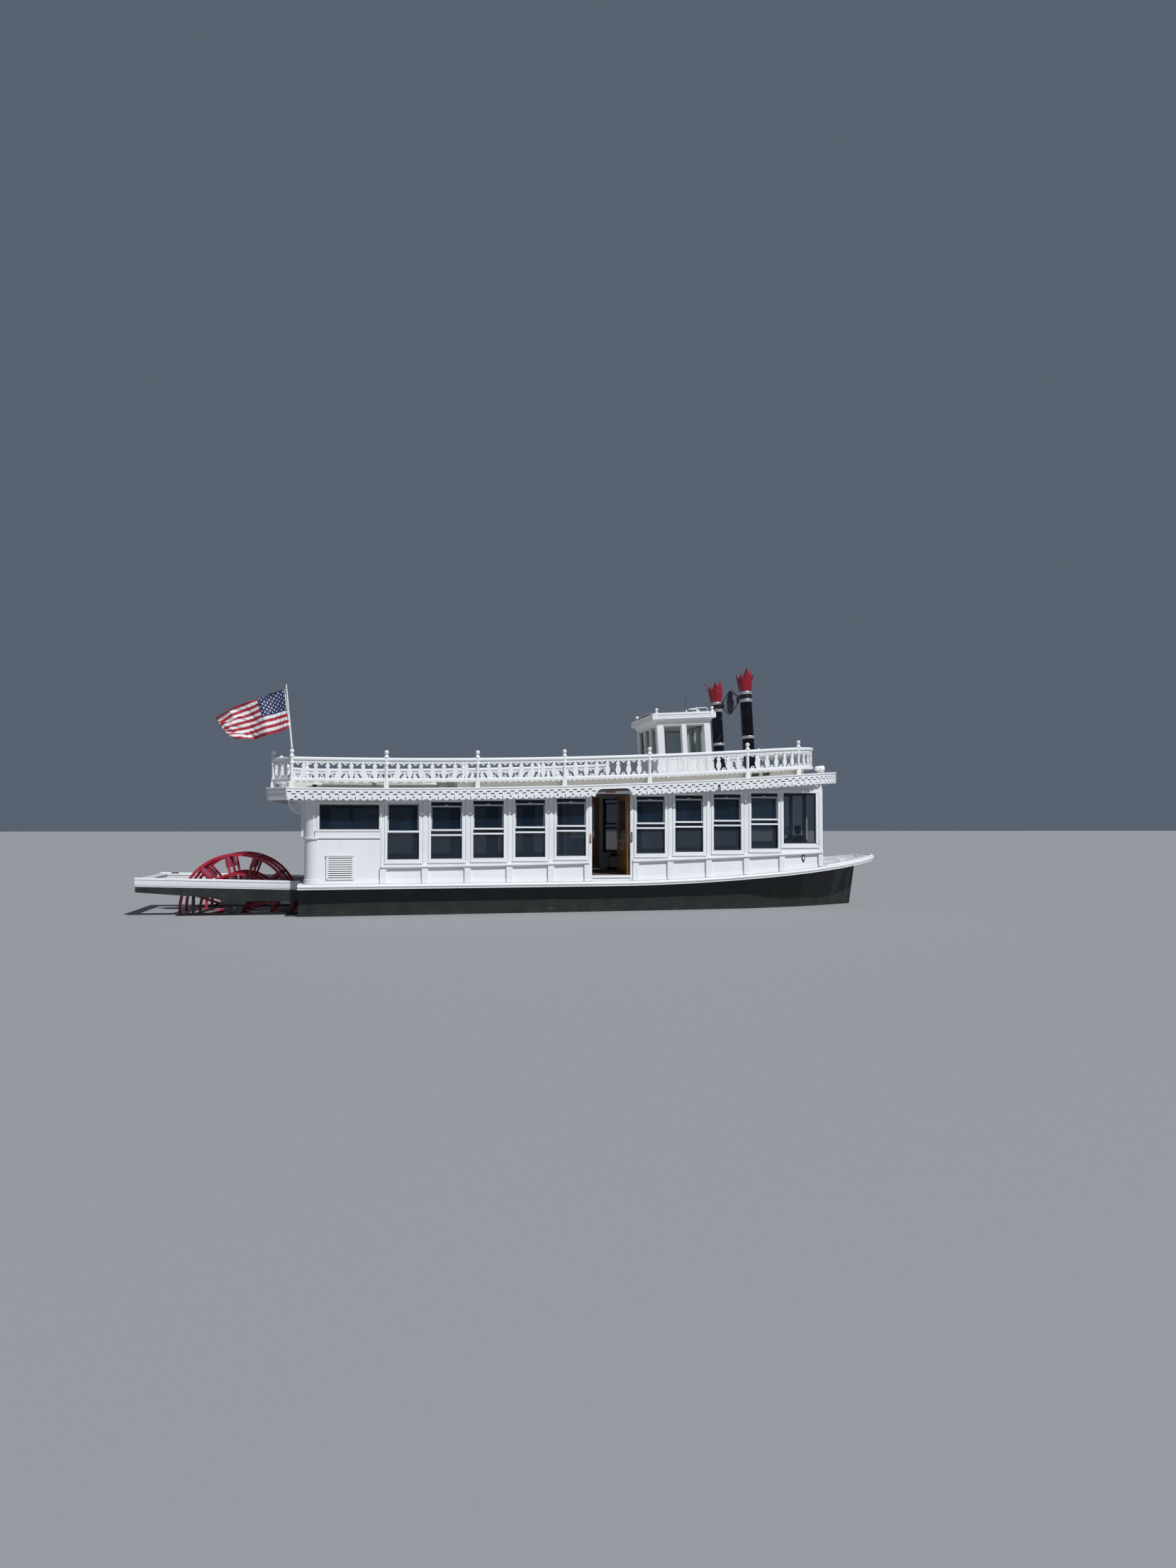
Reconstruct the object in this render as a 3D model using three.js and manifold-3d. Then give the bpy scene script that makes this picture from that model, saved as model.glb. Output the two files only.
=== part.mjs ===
// Sternwheel paddle boat, afloat, with its starboard cabin door open.
// Millimetres, X forward, Y to port, Z up. The origin is amidships on the centreline at the waterline.
import * as THREE from "three";
import { mergeVertices } from "three/addons/utils/BufferGeometryUtils.js";
import Module from "manifold-3d";

const wasm = await Module();
wasm.setup();

// Fit between pieces that touch
const GAP = 0.3;

// Spacing of the stations at which every piece that follows the sheer bends
const KNOT = 500;

// Main deck and hull
const DECK_Z = 700;
const DECK_RISE = 1e-5;
const DECK_RISE_X = 1500;
const DECK_THICK = 110;
const DECK_AFT_X = -5290;
const DECK_TIP_X = 8750;
const DECK_CURVE_X = 5000;
const DECK_OFFSET = 150;

// Cabin
const DOOR_X = 1610;
const WALL_HALF = 1950;
const WALL_TAPER = 0.0752;
const WALL_THICK = 60;
const WALL_AFT_X = -4900;
const CABIN_AFT_X = -5170;
const CABIN_FRONT_X = 6810;
const SILL_Z = 830;
const DOOR_WIDTH = 900;
const DOOR_TOP_Z = 2680;

// Roof edge
const FASCIA_Z = 2490;
const FASCIA_RISE = 3.6e-6;
const FASCIA_LOW_X = -4390;
const FASCIA_HIGH = 260;
const ROOF_THICK = 80;
const EAVE_OFFSET = 330;
const EAVE_ARC_X = 5650;
const EAVE_AFT_X = -5960;
const EAVE_CHAMFER_X = -5500;
const EAVE_AFT_HALF = 2150;

// Railing on the roof
const RAIL_OFFSET = 160;
const RAIL_ARC_X = 5190;
const RAIL_AFT_X = -5850;
const RAIL_CHAMFER_X = -5420;
const RAIL_AFT_HALF = 2000;
// Each rail: [half-breadth, bottom, top] above the eave
const RAIL_LOW = [35, 146, 220];
const RAIL_TOP = [40, 600, 680];
const BALUSTER_PITCH = 247.5;

// Paddle wheel
const WHEEL_X = -6720;
const WHEEL_Z = 100;
const WHEEL_R = 1240;
const WHEEL_SPOKES = 12;
const FRAME_Y = 920;
const FRAME_THICK = 40;
const SHAFT_R = 45;

// Stern platform
const PLATFORM_HALF = 1550;
const PLATFORM_INNER = 1270;
const PLATFORM_AFT_X = -8760;

const COLOURS = {
  white: [0xf1f4f6, 0.45, 0],
  cream: [0xe9e4d3, 0.6, 0],
  hull: [0x23292b, 0.5, 0],
  crimson: [0xb4121f, 0.4, 0],
  navy: [0x0c0f1c, 0.2, 0],
  black: [0x16181a, 0.5, 0],
  steel: [0x9a9da0, 0.35, 1],
  varnish: [0xa4561c, 0.3, 0],
  glass: [0x1d2b33, 0.05, 0],
  floor: [0x6f665a, 0.7, 0],
  seat: [0x7a3a34, 0.8, 0],
  flag: [0xa33a49, 0.9, 0],
};

const materials = {};
for (const [name, [color, roughness, metalness]] of Object.entries(COLOURS)) {
  materials[name] = new THREE.MeshStandardMaterial({ color, roughness, metalness });
}

const boat = new THREE.Group();
boat.name = "paddle_boat";

// Six times the volume that a triangle list encloses, negative when it is inside out
function signedVolume(p, index) {
  let sum = 0;
  for (let i = 0; i < index.length; i += 3) {
    const [a, b, c] = [3 * index[i], 3 * index[i + 1], 3 * index[i + 2]];
    sum += p[a] * (p[b + 1] * p[c + 2] - p[b + 2] * p[c + 1]);
    sum += p[a + 1] * (p[b + 2] * p[c] - p[b] * p[c + 2]);
    sum += p[a + 2] * (p[b] * p[c + 1] - p[b + 1] * p[c]);
  }
  return sum;
}

// A closed geometry as a solid with its faces outwards
function solid(geometry) {
  const flat = geometry.index ? geometry.toNonIndexed() : geometry;
  const bare = new THREE.BufferGeometry();
  bare.setAttribute("position", flat.getAttribute("position"));
  const merged = mergeVertices(bare, 1e-3);
  const position = merged.attributes.position.array;
  const all = merged.index.array;
  const kept = [];
  for (let i = 0; i < all.length; i += 3) {
    const [a, b, c] = [all[i], all[i + 1], all[i + 2]];
    if (a !== b && b !== c && c !== a) kept.push(a, b, c);
  }
  if (signedVolume(position, kept) < 0) kept.reverse();
  return new wasm.Manifold(
    new wasm.Mesh({ numProp: 3, vertProperties: position, triVerts: new Uint32Array(kept) }),
  );
}

function union(solids) {
  return solids.reduce((all, next) => all.add(next));
}

function geometryOf(body) {
  const mesh = body.getMesh();
  const geometry = new THREE.BufferGeometry();
  geometry.setAttribute("position", new THREE.BufferAttribute(mesh.vertProperties, 3));
  geometry.setIndex(new THREE.BufferAttribute(mesh.triVerts, 1));
  geometry.computeVertexNormals();
  return geometry;
}

function add(name, body, material, parent = boat) {
  const mesh = new THREE.Mesh(geometryOf(body), materials[material]);
  mesh.name = name;
  parent.add(mesh);
  return mesh;
}

function box(x0, x1, y0, y1, z0, z1) {
  const geometry = new THREE.BoxGeometry(x1 - x0, y1 - y0, z1 - z0);
  geometry.translate((x0 + x1) / 2, (y0 + y1) / 2, (z0 + z1) / 2);
  return solid(geometry);
}

// A cylinder about the Z axis, or turned to lie along Y
function rod(radius, z0, z1, segments = 16, alongY = false) {
  const geometry = new THREE.CylinderGeometry(radius, radius, z1 - z0, segments);
  geometry.translate(0, (z0 + z1) / 2, 0);
  if (!alongY) geometry.rotateX(Math.PI / 2);
  return solid(geometry);
}

// A turned shape about the Z axis from rows of [radius, z]
function turned(rows, segments) {
  const geometry = new THREE.LatheGeometry(rows.map(([r, z]) => new THREE.Vector2(r, z)), segments);
  geometry.rotateX(Math.PI / 2);
  return solid(geometry);
}

function shapeOf(points) {
  return new THREE.Shape(points.map(([x, y]) => new THREE.Vector2(x, y)));
}

// An outline carried from low to high along its normal, with each point placed by a function
function prism(points, low, high, place) {
  const geometry = new THREE.ExtrudeGeometry(shapeOf(points), { depth: high - low, bevelEnabled: false });
  const p = geometry.attributes.position;
  for (let i = 0; i < p.count; i++) p.setXYZ(i, ...place(p.getX(i), p.getY(i), low + p.getZ(i)));
  return solid(geometry);
}

// The same with holes, which are cut right through
function pierced(points, holes, low, high, place) {
  const body = prism(points, low, high, place);
  return holes.reduce((rest, hole) => rest.subtract(prism(hole, low - 1, high + 1, place)), body);
}

// An outline of [x, z] points carried along Y from y0 to y1
function plateXZ(points, y0, y1, holes = []) {
  return pierced(points, holes, y0, y1, (u, v, w) => [u, w, v]);
}

// An outline of [y, z] points carried along X from x0 to x1
function plateYZ(points, x0, x1, holes = []) {
  return pierced(points, holes, x0, x1, (u, v, w) => [w, u, v]);
}

// Rings of equal length joined in turn, with flat ends or, as a loop, back to the first
function loft(rings, loop = false) {
  const n = rings[0].length;
  const index = [];
  const spans = loop ? rings.length : rings.length - 1;
  for (let i = 0; i < spans; i++) {
    const a = i * n;
    const b = ((i + 1) % rings.length) * n;
    for (let j = 0; j < n; j++) {
      const k = (j + 1) % n;
      index.push(a + j, b + j, b + k, a + j, b + k, a + k);
    }
  }
  const end = (rings.length - 1) * n;
  for (let j = 1; j < n - 1 && !loop; j++) {
    index.push(0, j, j + 1, end, end + j + 1, end + j);
  }
  const geometry = new THREE.BufferGeometry();
  geometry.setAttribute("position", new THREE.Float32BufferAttribute(rings.flat(2), 3));
  geometry.setIndex(index);
  return solid(geometry);
}

// A curve of height against x, made straight between the stations
function chord(curve) {
  return (x) => {
    const a = Math.floor(x / KNOT) * KNOT;
    const t = (x - a) / KNOT;
    return curve(a) * (1 - t) + curve(a + KNOT) * t;
  };
}

const deckTop = chord((x) => DECK_Z + DECK_RISE * Math.max(0, x - DECK_RISE_X) ** 2);
const fasciaBottom = chord((x) => FASCIA_Z + FASCIA_RISE * (x - FASCIA_LOW_X) ** 2);
const eaveTop = (x) => fasciaBottom(x) + FASCIA_HIGH;
const roofBottom = (x) => eaveTop(x) - ROOF_THICK;
const wallHalf = (x) => WALL_HALF - WALL_TAPER * (x - DOOR_X);
const windowBottom = (x) => 1215 + 2.1e-6 * (x + 4390) ** 2;
const windowHead = (x) => 2545 + 0.0325 * x;

function stations(x0, x1) {
  const xs = [x0];
  for (let x = (Math.floor(x0 / KNOT) + 1) * KNOT; x < x1; x += KNOT) xs.push(x);
  xs.push(x1);
  return xs;
}

// Half-breadth of the short flat at the foremost point of a round front
const NOSE_HALF = 20;

// Half-breadth of a roof-level outline: straight sides, a round front and chamfered aft corners
function roofOutline(offset, arcX, chamferX, aftX, aftHalf) {
  const radius = wallHalf(arcX) + offset;
  const half = (x) => {
    if (x > arcX) return Math.sqrt(Math.max(NOSE_HALF ** 2, radius ** 2 - (x - arcX) ** 2));
    if (x < chamferX) {
      const t = (x - aftX) / (chamferX - aftX);
      return aftHalf + t * (wallHalf(chamferX) + offset - aftHalf);
    }
    return wallHalf(x) + offset;
  };
  const arc = [];
  const steps = 9;
  for (let i = 1; i < steps; i++) arc.push(arcX + radius * Math.sin((i * Math.PI) / 2 / steps));
  const xs = [...stations(aftX, arcX + radius), chamferX, arcX, ...arc];
  xs.sort((a, b) => a - b);
  return { half, xs: xs.filter((x, i) => i === 0 || x - xs[i - 1] > 1), radius };
}

const eave = roofOutline(EAVE_OFFSET, EAVE_ARC_X, EAVE_CHAMFER_X, EAVE_AFT_X, EAVE_AFT_HALF);
const rail = roofOutline(RAIL_OFFSET, RAIL_ARC_X, RAIL_CHAMFER_X, RAIL_AFT_X, RAIL_AFT_HALF);

// A slab across the boat between two heights, of half-breadth half(x)
function slab(xs, half, bottom, top) {
  return loft(
    xs.map((x) => {
      const h = Math.max(half(x), NOSE_HALF);
      return [
        [x, -h, bottom(x)],
        [x, h, bottom(x)],
        [x, h, top(x)],
        [x, -h, top(x)],
      ];
    }),
  );
}

// A strip along a side wall: [x, z] outline and holes, between two offsets from the wall's outer face
function sidePanel(points, holes, inner, outer, side) {
  return pierced(points, holes, inner, outer, (x, z, off) => [x, side * (wallHalf(x) + off), z]);
}

// The band between two heights that follow the boat, as [x, z] points
function band(x0, x1, bottom, top) {
  const xs = stations(x0, x1);
  return [...xs.map((x) => [x, bottom(x)]), ...xs.reverse().map((x) => [x, top(x)])];
}

function rectangle(x0, x1, z0, z1) {
  return [
    [x0, z0],
    [x1, z0],
    [x1, z1],
    [x0, z1],
  ];
}

// A path offset sideways by d, with mitred corners; positive d is to the left of its direction
function offsetPath(path, d, closed) {
  const n = path.length;
  return path.map(([x, y], i) => {
    const before = path[closed ? (i + n - 1) % n : Math.max(i - 1, 0)];
    const after = path[closed ? (i + 1) % n : Math.min(i + 1, n - 1)];
    let ax = x - before[0];
    let ay = y - before[1];
    let bx = after[0] - x;
    let by = after[1] - y;
    if (ax === 0 && ay === 0) [ax, ay] = [bx, by];
    if (bx === 0 && by === 0) [bx, by] = [ax, ay];
    const la = Math.hypot(ax, ay);
    const lb = Math.hypot(bx, by);
    const nx = -(ay / la + by / lb);
    const ny = ax / la + bx / lb;
    const m = (2 * d) / (nx * nx + ny * ny);
    return [x + nx * m, y + ny * m];
  });
}

// A strip of rectangular section along a path in plan, between two offsets and two heights
function ribbon(path, inner, outer, bottom, top, closed) {
  const a = offsetPath(path, inner, closed);
  const b = offsetPath(path, outer, closed);
  return loft(
    path.map(([x], i) => [
      [...a[i], bottom(x, i)],
      [...b[i], bottom(x, i)],
      [...b[i], top(x, i)],
      [...a[i], top(x, i)],
    ]),
    closed,
  );
}

// Hull

// Height of the bilge's turn above the bottom
const BILGE_HIGH = 110;

// Half-breadths at the sheer, waterline, bilge and flat of the bottom, and the bottom's height
const HULL_ROWS = [
  // x at the sheer, x at the bottom, sheer, waterline, bilge, flat, bottom z
  [-5290, -5290, 2330, 2290, 2200, 2000, -160],
  [-4000, -4000, 2250, 2220, 2150, 1950, -480],
  [-3000, -3000, 2180, 2150, 2080, 1900, -600],
  [0, 0, 1960, 1930, 1850, 1700, -600],
  [3000, 3000, 1730, 1690, 1590, 1430, -600],
  [5000, 5000, 1540, 1450, 1300, 1110, -600],
  [6500, 6450, 1180, 980, 780, 560, -570],
  [7500, 7350, 690, 470, 310, 180, -480],
  [8260, 8060, 60, 50, 40, 30, -300],
];

function hullRing([xTop, xBottom, sheer, water, bilge, flat, bottom]) {
  const top = deckTop(xTop) - DECK_THICK - GAP;
  const rows = [
    [sheer, top],
    [water, 0],
    [bilge, bottom + BILGE_HIGH],
    [flat, bottom],
  ];
  const port = rows.map(([y, z]) => [xBottom + ((xTop - xBottom) * (z - bottom)) / (top - bottom), y, z]);
  const starboard = port.map(([x, y, z]) => [x, -y, z]).reverse();
  return [...port, ...starboard];
}

// The hull is sliced finely enough for its top to lie under the deck at every station
function hullRings() {
  const rings = [];
  for (let i = 0; i < HULL_ROWS.length - 1; i++) {
    const [a, b] = [HULL_ROWS[i], HULL_ROWS[i + 1]];
    for (const x of stations(a[0], b[0]).slice(0, -1)) {
      const t = (x - a[0]) / (b[0] - a[0]);
      rings.push(hullRing(a.map((v, k) => v + t * (b[k] - v))));
    }
  }
  rings.push(hullRing(HULL_ROWS.at(-1)));
  return rings;
}

// Rudder bosses under the run of the hull
const RUDDER_X = -4850;
const RUDDER_Y = 800;
const BOSS_R = 70;
const BOSS_Z = -300;
const BOSS_TOP_Z = -100;
const bosses = [-1, 1].map((side) => {
  return rod(BOSS_R, BOSS_Z, BOSS_TOP_Z).translate([RUDDER_X, side * RUDDER_Y, 0]);
});
add("hull", union([loft(hullRings()), ...bosses]), "hull");

// Powers that shape the bow's outline in plan
const BOW_RUN = 2.2;
const BOW_ROUND = 0.625;
function deckHalf(x) {
  const full = wallHalf(Math.min(x, DECK_CURVE_X)) + DECK_OFFSET;
  const t = Math.max(0, x - DECK_CURVE_X) / (DECK_TIP_X - DECK_CURVE_X);
  return full * Math.max(0, 1 - t ** BOW_RUN) ** BOW_ROUND;
}

// Stations round the bow lie closer together towards its tip
const BOW_STEPS = 16;
const bowXs = [];
for (let i = 1; i < BOW_STEPS; i++) {
  bowXs.push(DECK_TIP_X - (DECK_TIP_X - DECK_CURVE_X) * (1 - i / BOW_STEPS) ** 2);
}
const deckXs = [...stations(DECK_AFT_X, DECK_TIP_X), ...bowXs].sort((a, b) => a - b);

// Raised on the deck: a tread outside each door, and a pad for a cleat at each aft corner
const TREAD_RISE = 12;
const TREAD_INSET = 20;
const TREAD_WIDE = 115;
const PAD_RISE = 20;
const PAD = { x0: -5280, x1: -5190, y0: 2360, y1: 2560 };
function tread(side) {
  const [x0, x1] = [DOOR_X - DOOR_WIDTH / 2, DOOR_X + DOOR_WIDTH / 2];
  const outline = [
    [x0, wallHalf(x0) + TREAD_INSET],
    [x1, wallHalf(x1) + TREAD_INSET],
    [x1, wallHalf(x1) + TREAD_INSET + TREAD_WIDE],
    [x0, wallHalf(x0) + TREAD_INSET + TREAD_WIDE],
  ];
  return prism(outline, DECK_Z - DECK_THICK / 2, DECK_Z + TREAD_RISE, (u, v, w) => [u, side * v, w]);
}
function cleatPad(side) {
  const [y0, y1] = side < 0 ? [-PAD.y1, -PAD.y0] : [PAD.y0, PAD.y1];
  return box(PAD.x0, PAD.x1, y0, y1, DECK_Z - DECK_THICK / 2, DECK_Z + PAD_RISE);
}
const deckSlab = slab(deckXs, deckHalf, (x) => deckTop(x) - DECK_THICK, deckTop);
add("main_deck", union([deckSlab, tread(-1), tread(1), cleatPad(-1), cleatPad(1)]), "white");

// Cabin walls

// Side windows: [centre x, number of bars across the glass]
const SIDE_WINDOWS = [
  [-3070, 1],
  [-2130, 2],
  [-1200, 2],
  [-260, 2],
  [680, 2],
  [2550, 2],
  [3480, 2],
  [4420, 2],
  [5350, 2],
];
const WINDOW_HALF = 340;
// Heights of the bars below the head: [top, bottom]
const BARS = {
  1: [[600, 650]],
  2: [
    [600, 640],
    [710, 750],
  ],
};
const AFT_PANE = rectangle(-4850, -3590, 1870, 2410);
const HELM_PANE = rectangle(5830, 6660, 1530, 2730);
const LOUVRE = [-4690, -4130, 810, 1310];
const LOUVRE_RIM = 40;
const LOUVRE_SLOTS = 10;
const LOUVRE_THICK = 22;
// A slot's lower and upper edge as fractions of the pitch
const LOUVRE_SLOT = [0.3, 0.75];

function windowHoles([centre, bars]) {
  const x0 = centre - WINDOW_HALF;
  const x1 = centre + WINDOW_HALF;
  const head = windowHead(centre);
  const holes = [];
  let top = head;
  for (const [barTop, barBottom] of BARS[bars]) {
    holes.push(rectangle(x0, x1, head - barTop, top));
    top = head - barBottom;
  }
  holes.push(rectangle(x0, x1, windowBottom(centre), top));
  return holes;
}

const VENT_INSET = 30;
const sideHoles = [
  ...SIDE_WINDOWS.flatMap(windowHoles),
  rectangle(DOOR_X - DOOR_WIDTH / 2, DOOR_X + DOOR_WIDTH / 2, SILL_Z, DOOR_TOP_Z),
  AFT_PANE,
  HELM_PANE,
  rectangle(LOUVRE[0] + VENT_INSET, LOUVRE[1] - VENT_INSET, LOUVRE[2] + VENT_INSET, LOUVRE[3] - VENT_INSET),
];

const SIDES = [
  ["starboard", -1],
  ["port", 1],
];

function louvre(side) {
  const [x0, x1, z0, z1] = LOUVRE;
  const pitch = (z1 - z0 - 2 * LOUVRE_RIM) / LOUVRE_SLOTS;
  const slots = [];
  for (let i = 0; i < LOUVRE_SLOTS; i++) {
    const z = z0 + LOUVRE_RIM + i * pitch;
    const [low, high] = LOUVRE_SLOT.map((part) => z + pitch * part);
    slots.push(rectangle(x0 + LOUVRE_RIM, x1 - LOUVRE_RIM, low, high));
  }
  return sidePanel(rectangle(x0, x1, z0, z1), slots, GAP, LOUVRE_THICK, side);
}

const wallBottom = (x) => deckTop(x) + GAP;
const wallTop = (x) => roofBottom(x) - GAP;
const GLASS_THICK = 8;
// The glazing is a sheet against the wall's inner face, on each side of the doorway: [name, from x, to x]
const GLAZING = [
  ["aft", -4865, 1080],
  ["fwd", 2140, 6695],
];
const GLASS_LAP = 40;
const glassLow = (x) => windowBottom(x) - GLASS_LAP;
const glassHigh = (x) => windowHead(x) + GLASS_LAP;
for (const [name, side] of SIDES) {
  const outline = band(WALL_AFT_X, CABIN_FRONT_X, wallBottom, wallTop);
  add("cabin_wall_" + name, sidePanel(outline, sideHoles, -WALL_THICK, 0, side), "white");
  add("vent_louvre_" + name, louvre(side), "white");
  for (const [part, x0, x1] of GLAZING) {
    const inner = -WALL_THICK - GAP - GLASS_THICK;
    const sheet = sidePanel(band(x0, x1, glassLow, glassHigh), [], inner, -WALL_THICK - GAP, side);
    add("glazing_" + name + "_" + part, sheet, "glass");
  }
}

// Front wall between the side walls, with three panes
const frontHalf = wallHalf(CABIN_FRONT_X) - WALL_THICK - GAP;
const frontBase = Math.max(deckTop(CABIN_FRONT_X), deckTop(CABIN_FRONT_X - WALL_THICK)) + GAP;
const frontHead = Math.min(roofBottom(CABIN_FRONT_X), roofBottom(CABIN_FRONT_X - WALL_THICK)) - GAP;
const FRONT_PANE_HALF = 410;
const FRONT_PANE_Z = [1530, 2730];
const FRONT_PANES = [-970, 0, 970].map((y) =>
  rectangle(y - FRONT_PANE_HALF, y + FRONT_PANE_HALF, ...FRONT_PANE_Z),
);
const FRONT_GLASS_HALF = 1420;
add(
  "cabin_wall_front",
  plateYZ(
    rectangle(-frontHalf, frontHalf, frontBase, frontHead),
    CABIN_FRONT_X - WALL_THICK,
    CABIN_FRONT_X,
    FRONT_PANES,
  ),
  "white",
);
add(
  "glazing_front",
  plateYZ(
    rectangle(
      -FRONT_GLASS_HALF,
      FRONT_GLASS_HALF,
      FRONT_PANE_Z[0] - GLASS_LAP,
      FRONT_PANE_Z[1] + GLASS_LAP,
    ),
    CABIN_FRONT_X - WALL_THICK - GAP - GLASS_THICK,
    CABIN_FRONT_X - WALL_THICK - GAP,
  ),
  "glass",
);

// Aft wall, round at its two corners
const AFT_STRAIGHT = 20;
const AFT_CORNER_R = WALL_AFT_X - AFT_STRAIGHT - CABIN_AFT_X;
function aftWallPath() {
  const half = wallHalf(WALL_AFT_X);
  const path = [[WALL_AFT_X - GAP, -half]];
  const steps = 6;
  for (let i = 0; i <= steps; i++) {
    const a = (i * Math.PI) / 2 / steps;
    const x = WALL_AFT_X - AFT_STRAIGHT - AFT_CORNER_R * Math.sin(a);
    path.push([x, -half + AFT_CORNER_R * (1 - Math.cos(a))]);
  }
  return [...path, ...path.map(([x, y]) => [x, -y]).reverse()];
}
const aftTop = Math.min(roofBottom(WALL_AFT_X), roofBottom(CABIN_AFT_X)) - GAP;
add(
  "cabin_wall_aft",
  ribbon(
    aftWallPath(),
    0,
    -WALL_THICK,
    () => DECK_Z + GAP,
    () => aftTop,
    false,
  ),
  "white",
);

// Inside the cabin
const INSIDE_CLEAR = 10;
const insideHalf = (x) => wallHalf(x) - WALL_THICK - INSIDE_CLEAR;
const SOLE_AFT_X = -4880;
const SOLE_FRONT_X = 5000;
const HELM_FRONT_X = 6740;
const HELM_FLOOR_Z = 1050;
add("cabin_sole", slab(stations(SOLE_AFT_X, SOLE_FRONT_X), insideHalf, wallBottom, () => SILL_Z), "floor");
add(
  "helm_platform",
  slab(stations(SOLE_FRONT_X + GAP, HELM_FRONT_X), insideHalf, wallBottom, () => HELM_FLOOR_Z),
  "floor",
);
const CONSOLE = { x: [6150, 6700], y: [-900, -150], top: 1580 };
add("helm_console", box(...CONSOLE.x, ...CONSOLE.y, HELM_FLOOR_Z + GAP, CONSOLE.top), "black");

// The bulkhead's doorway is open at the foot
const BULKHEAD = { x: [-3530, -3490], door: [300, 1000], doorTop: 2600 };
const bulkheadHalf = insideHalf(BULKHEAD.x[1]);
const bulkheadTop = roofBottom(BULKHEAD.x[0]) - GAP;
add(
  "bulkhead_aft",
  plateYZ(
    [
      [-bulkheadHalf, SILL_Z + GAP],
      [BULKHEAD.door[0], SILL_Z + GAP],
      [BULKHEAD.door[0], BULKHEAD.doorTop],
      [BULKHEAD.door[1], BULKHEAD.doorTop],
      [BULKHEAD.door[1], SILL_Z + GAP],
      [bulkheadHalf, SILL_Z + GAP],
      [bulkheadHalf, bulkheadTop],
      [-bulkheadHalf, bulkheadTop],
    ],
    ...BULKHEAD.x,
  ),
  "white",
);
const ENGINE = { x: [-4700, -3900], half: 450, top: 1500 };
add("engine_block", box(...ENGINE.x, -ENGINE.half, ENGINE.half, SILL_Z + GAP, ENGINE.top), "steel");

const BENCH_DEPTH = 420;
const BENCH_CLEAR = 30;
const SEAT_HIGH = 430;
// [name, from x, to x]
const BENCHES = [
  ["aft", -3300, 950],
  ["fwd", 2250, 4900],
];
for (const [name, side] of SIDES) {
  for (const [part, x0, x1] of BENCHES) {
    const back = -WALL_THICK - BENCH_CLEAR;
    const outline = rectangle(x0, x1, SILL_Z + GAP, SILL_Z + SEAT_HIGH);
    const seat = sidePanel(outline, [], back - BENCH_DEPTH, back, side);
    add("bench_" + name + "_" + part, seat, "seat");
  }
}

// Doors, each swung inward about a pin at its forward jamb. A leaf is drawn shut, along -X from the pin.
const LEAF_WIDTH = 883;
const LEAF_THICK = 40;
const LEAF_CLEAR = 8;
const PIN_INSIDE = 6;
const PIN_SIDE = 5;
const DOOR_STILE = 130;
const DOOR_PANE_LOW = 800;
const wallAngle = Math.atan(WALL_TAPER);
function doorLeaf(side) {
  const [x0, x1] = [-PIN_SIDE - LEAF_WIDTH, -PIN_SIDE];
  const [z0, z1] = [SILL_Z + LEAF_CLEAR, DOOR_TOP_Z - LEAF_CLEAR];
  const faces = [side * PIN_INSIDE, side * (PIN_INSIDE + LEAF_THICK)].sort((a, b) => a - b);
  const pane = rectangle(x0 + DOOR_STILE, x1 - DOOR_STILE, z0 + DOOR_PANE_LOW, z1 - DOOR_STILE);
  return plateXZ(rectangle(x0, x1, z0, z1), ...faces, [pane]);
}

for (const [name, side, swing] of [
  ["starboard", -1, Math.PI / 2],
  ["port", 1, 0],
]) {
  const pinX = DOOR_X + DOOR_WIDTH / 2 - PIN_SIDE;
  const hinge = new THREE.Group();
  hinge.position.set(pinX, side * (wallHalf(pinX) - WALL_THICK - PIN_INSIDE), 0);
  hinge.rotation.z = side * (swing - wallAngle);
  boat.add(hinge);
  add("door_" + name, doorLeaf(side), "varnish", hinge);
}

// Roof, its eave fascia and the raised coaming
add("roof", slab(eave.xs, eave.half, roofBottom, eaveTop), "white");

// A closed outline in plan, counterclockwise from the port aft corner
function closedPath({ half, xs }) {
  const starboard = xs.map((x) => [x, -half(x)]);
  const port = xs.map((x) => [x, half(x)]).reverse();
  return [...starboard, ...port];
}

// The path cut up so that no step is longer than the given length, with the distance along it
function finePath(path, step, closed) {
  const out = [];
  const n = path.length;
  let distance = 0;
  for (let i = 0; i < (closed ? n : n - 1); i++) {
    const [a, b] = [path[i], path[(i + 1) % n]];
    const length = Math.hypot(b[0] - a[0], b[1] - a[1]);
    const cuts = Math.max(1, Math.round(length / step));
    for (let k = 0; k < cuts; k++) {
      const t = k / cuts;
      out.push([a[0] + t * (b[0] - a[0]), a[1] + t * (b[1] - a[1]), distance + t * length]);
    }
    distance += length;
  }
  if (!closed) out.push([...path[n - 1], distance]);
  return out;
}

const FASCIA_THICK = 24;
// The lower edge hangs down in pendants, is plain at the stern and rises over the two doors
const PENDANT_PITCH = 350;
const PENDANT_DROP = 55;
const ARCH_X = [1205, 2050];
const ARCH_RISE = 165;
const eavePath = finePath(closedPath(eave), PENDANT_PITCH / 4, true);
const fasciaRise = eavePath.map(([x], i) => {
  if (x < EAVE_CHAMFER_X) return 0;
  if (x > ARCH_X[0] && x < ARCH_X[1]) return ARCH_RISE;
  return i % 4 < 2 ? 0 : PENDANT_DROP;
});
add(
  "eave_fascia",
  ribbon(
    eavePath.map(([x, y]) => [x, y]),
    -GAP,
    -GAP - FASCIA_THICK,
    (x, i) => fasciaBottom(x) + fasciaRise[i],
    (x) => eaveTop(x),
    true,
  ),
  "white",
);

const COAMING_HIGH = 150;
const COAMING_INSET = 110;
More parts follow.
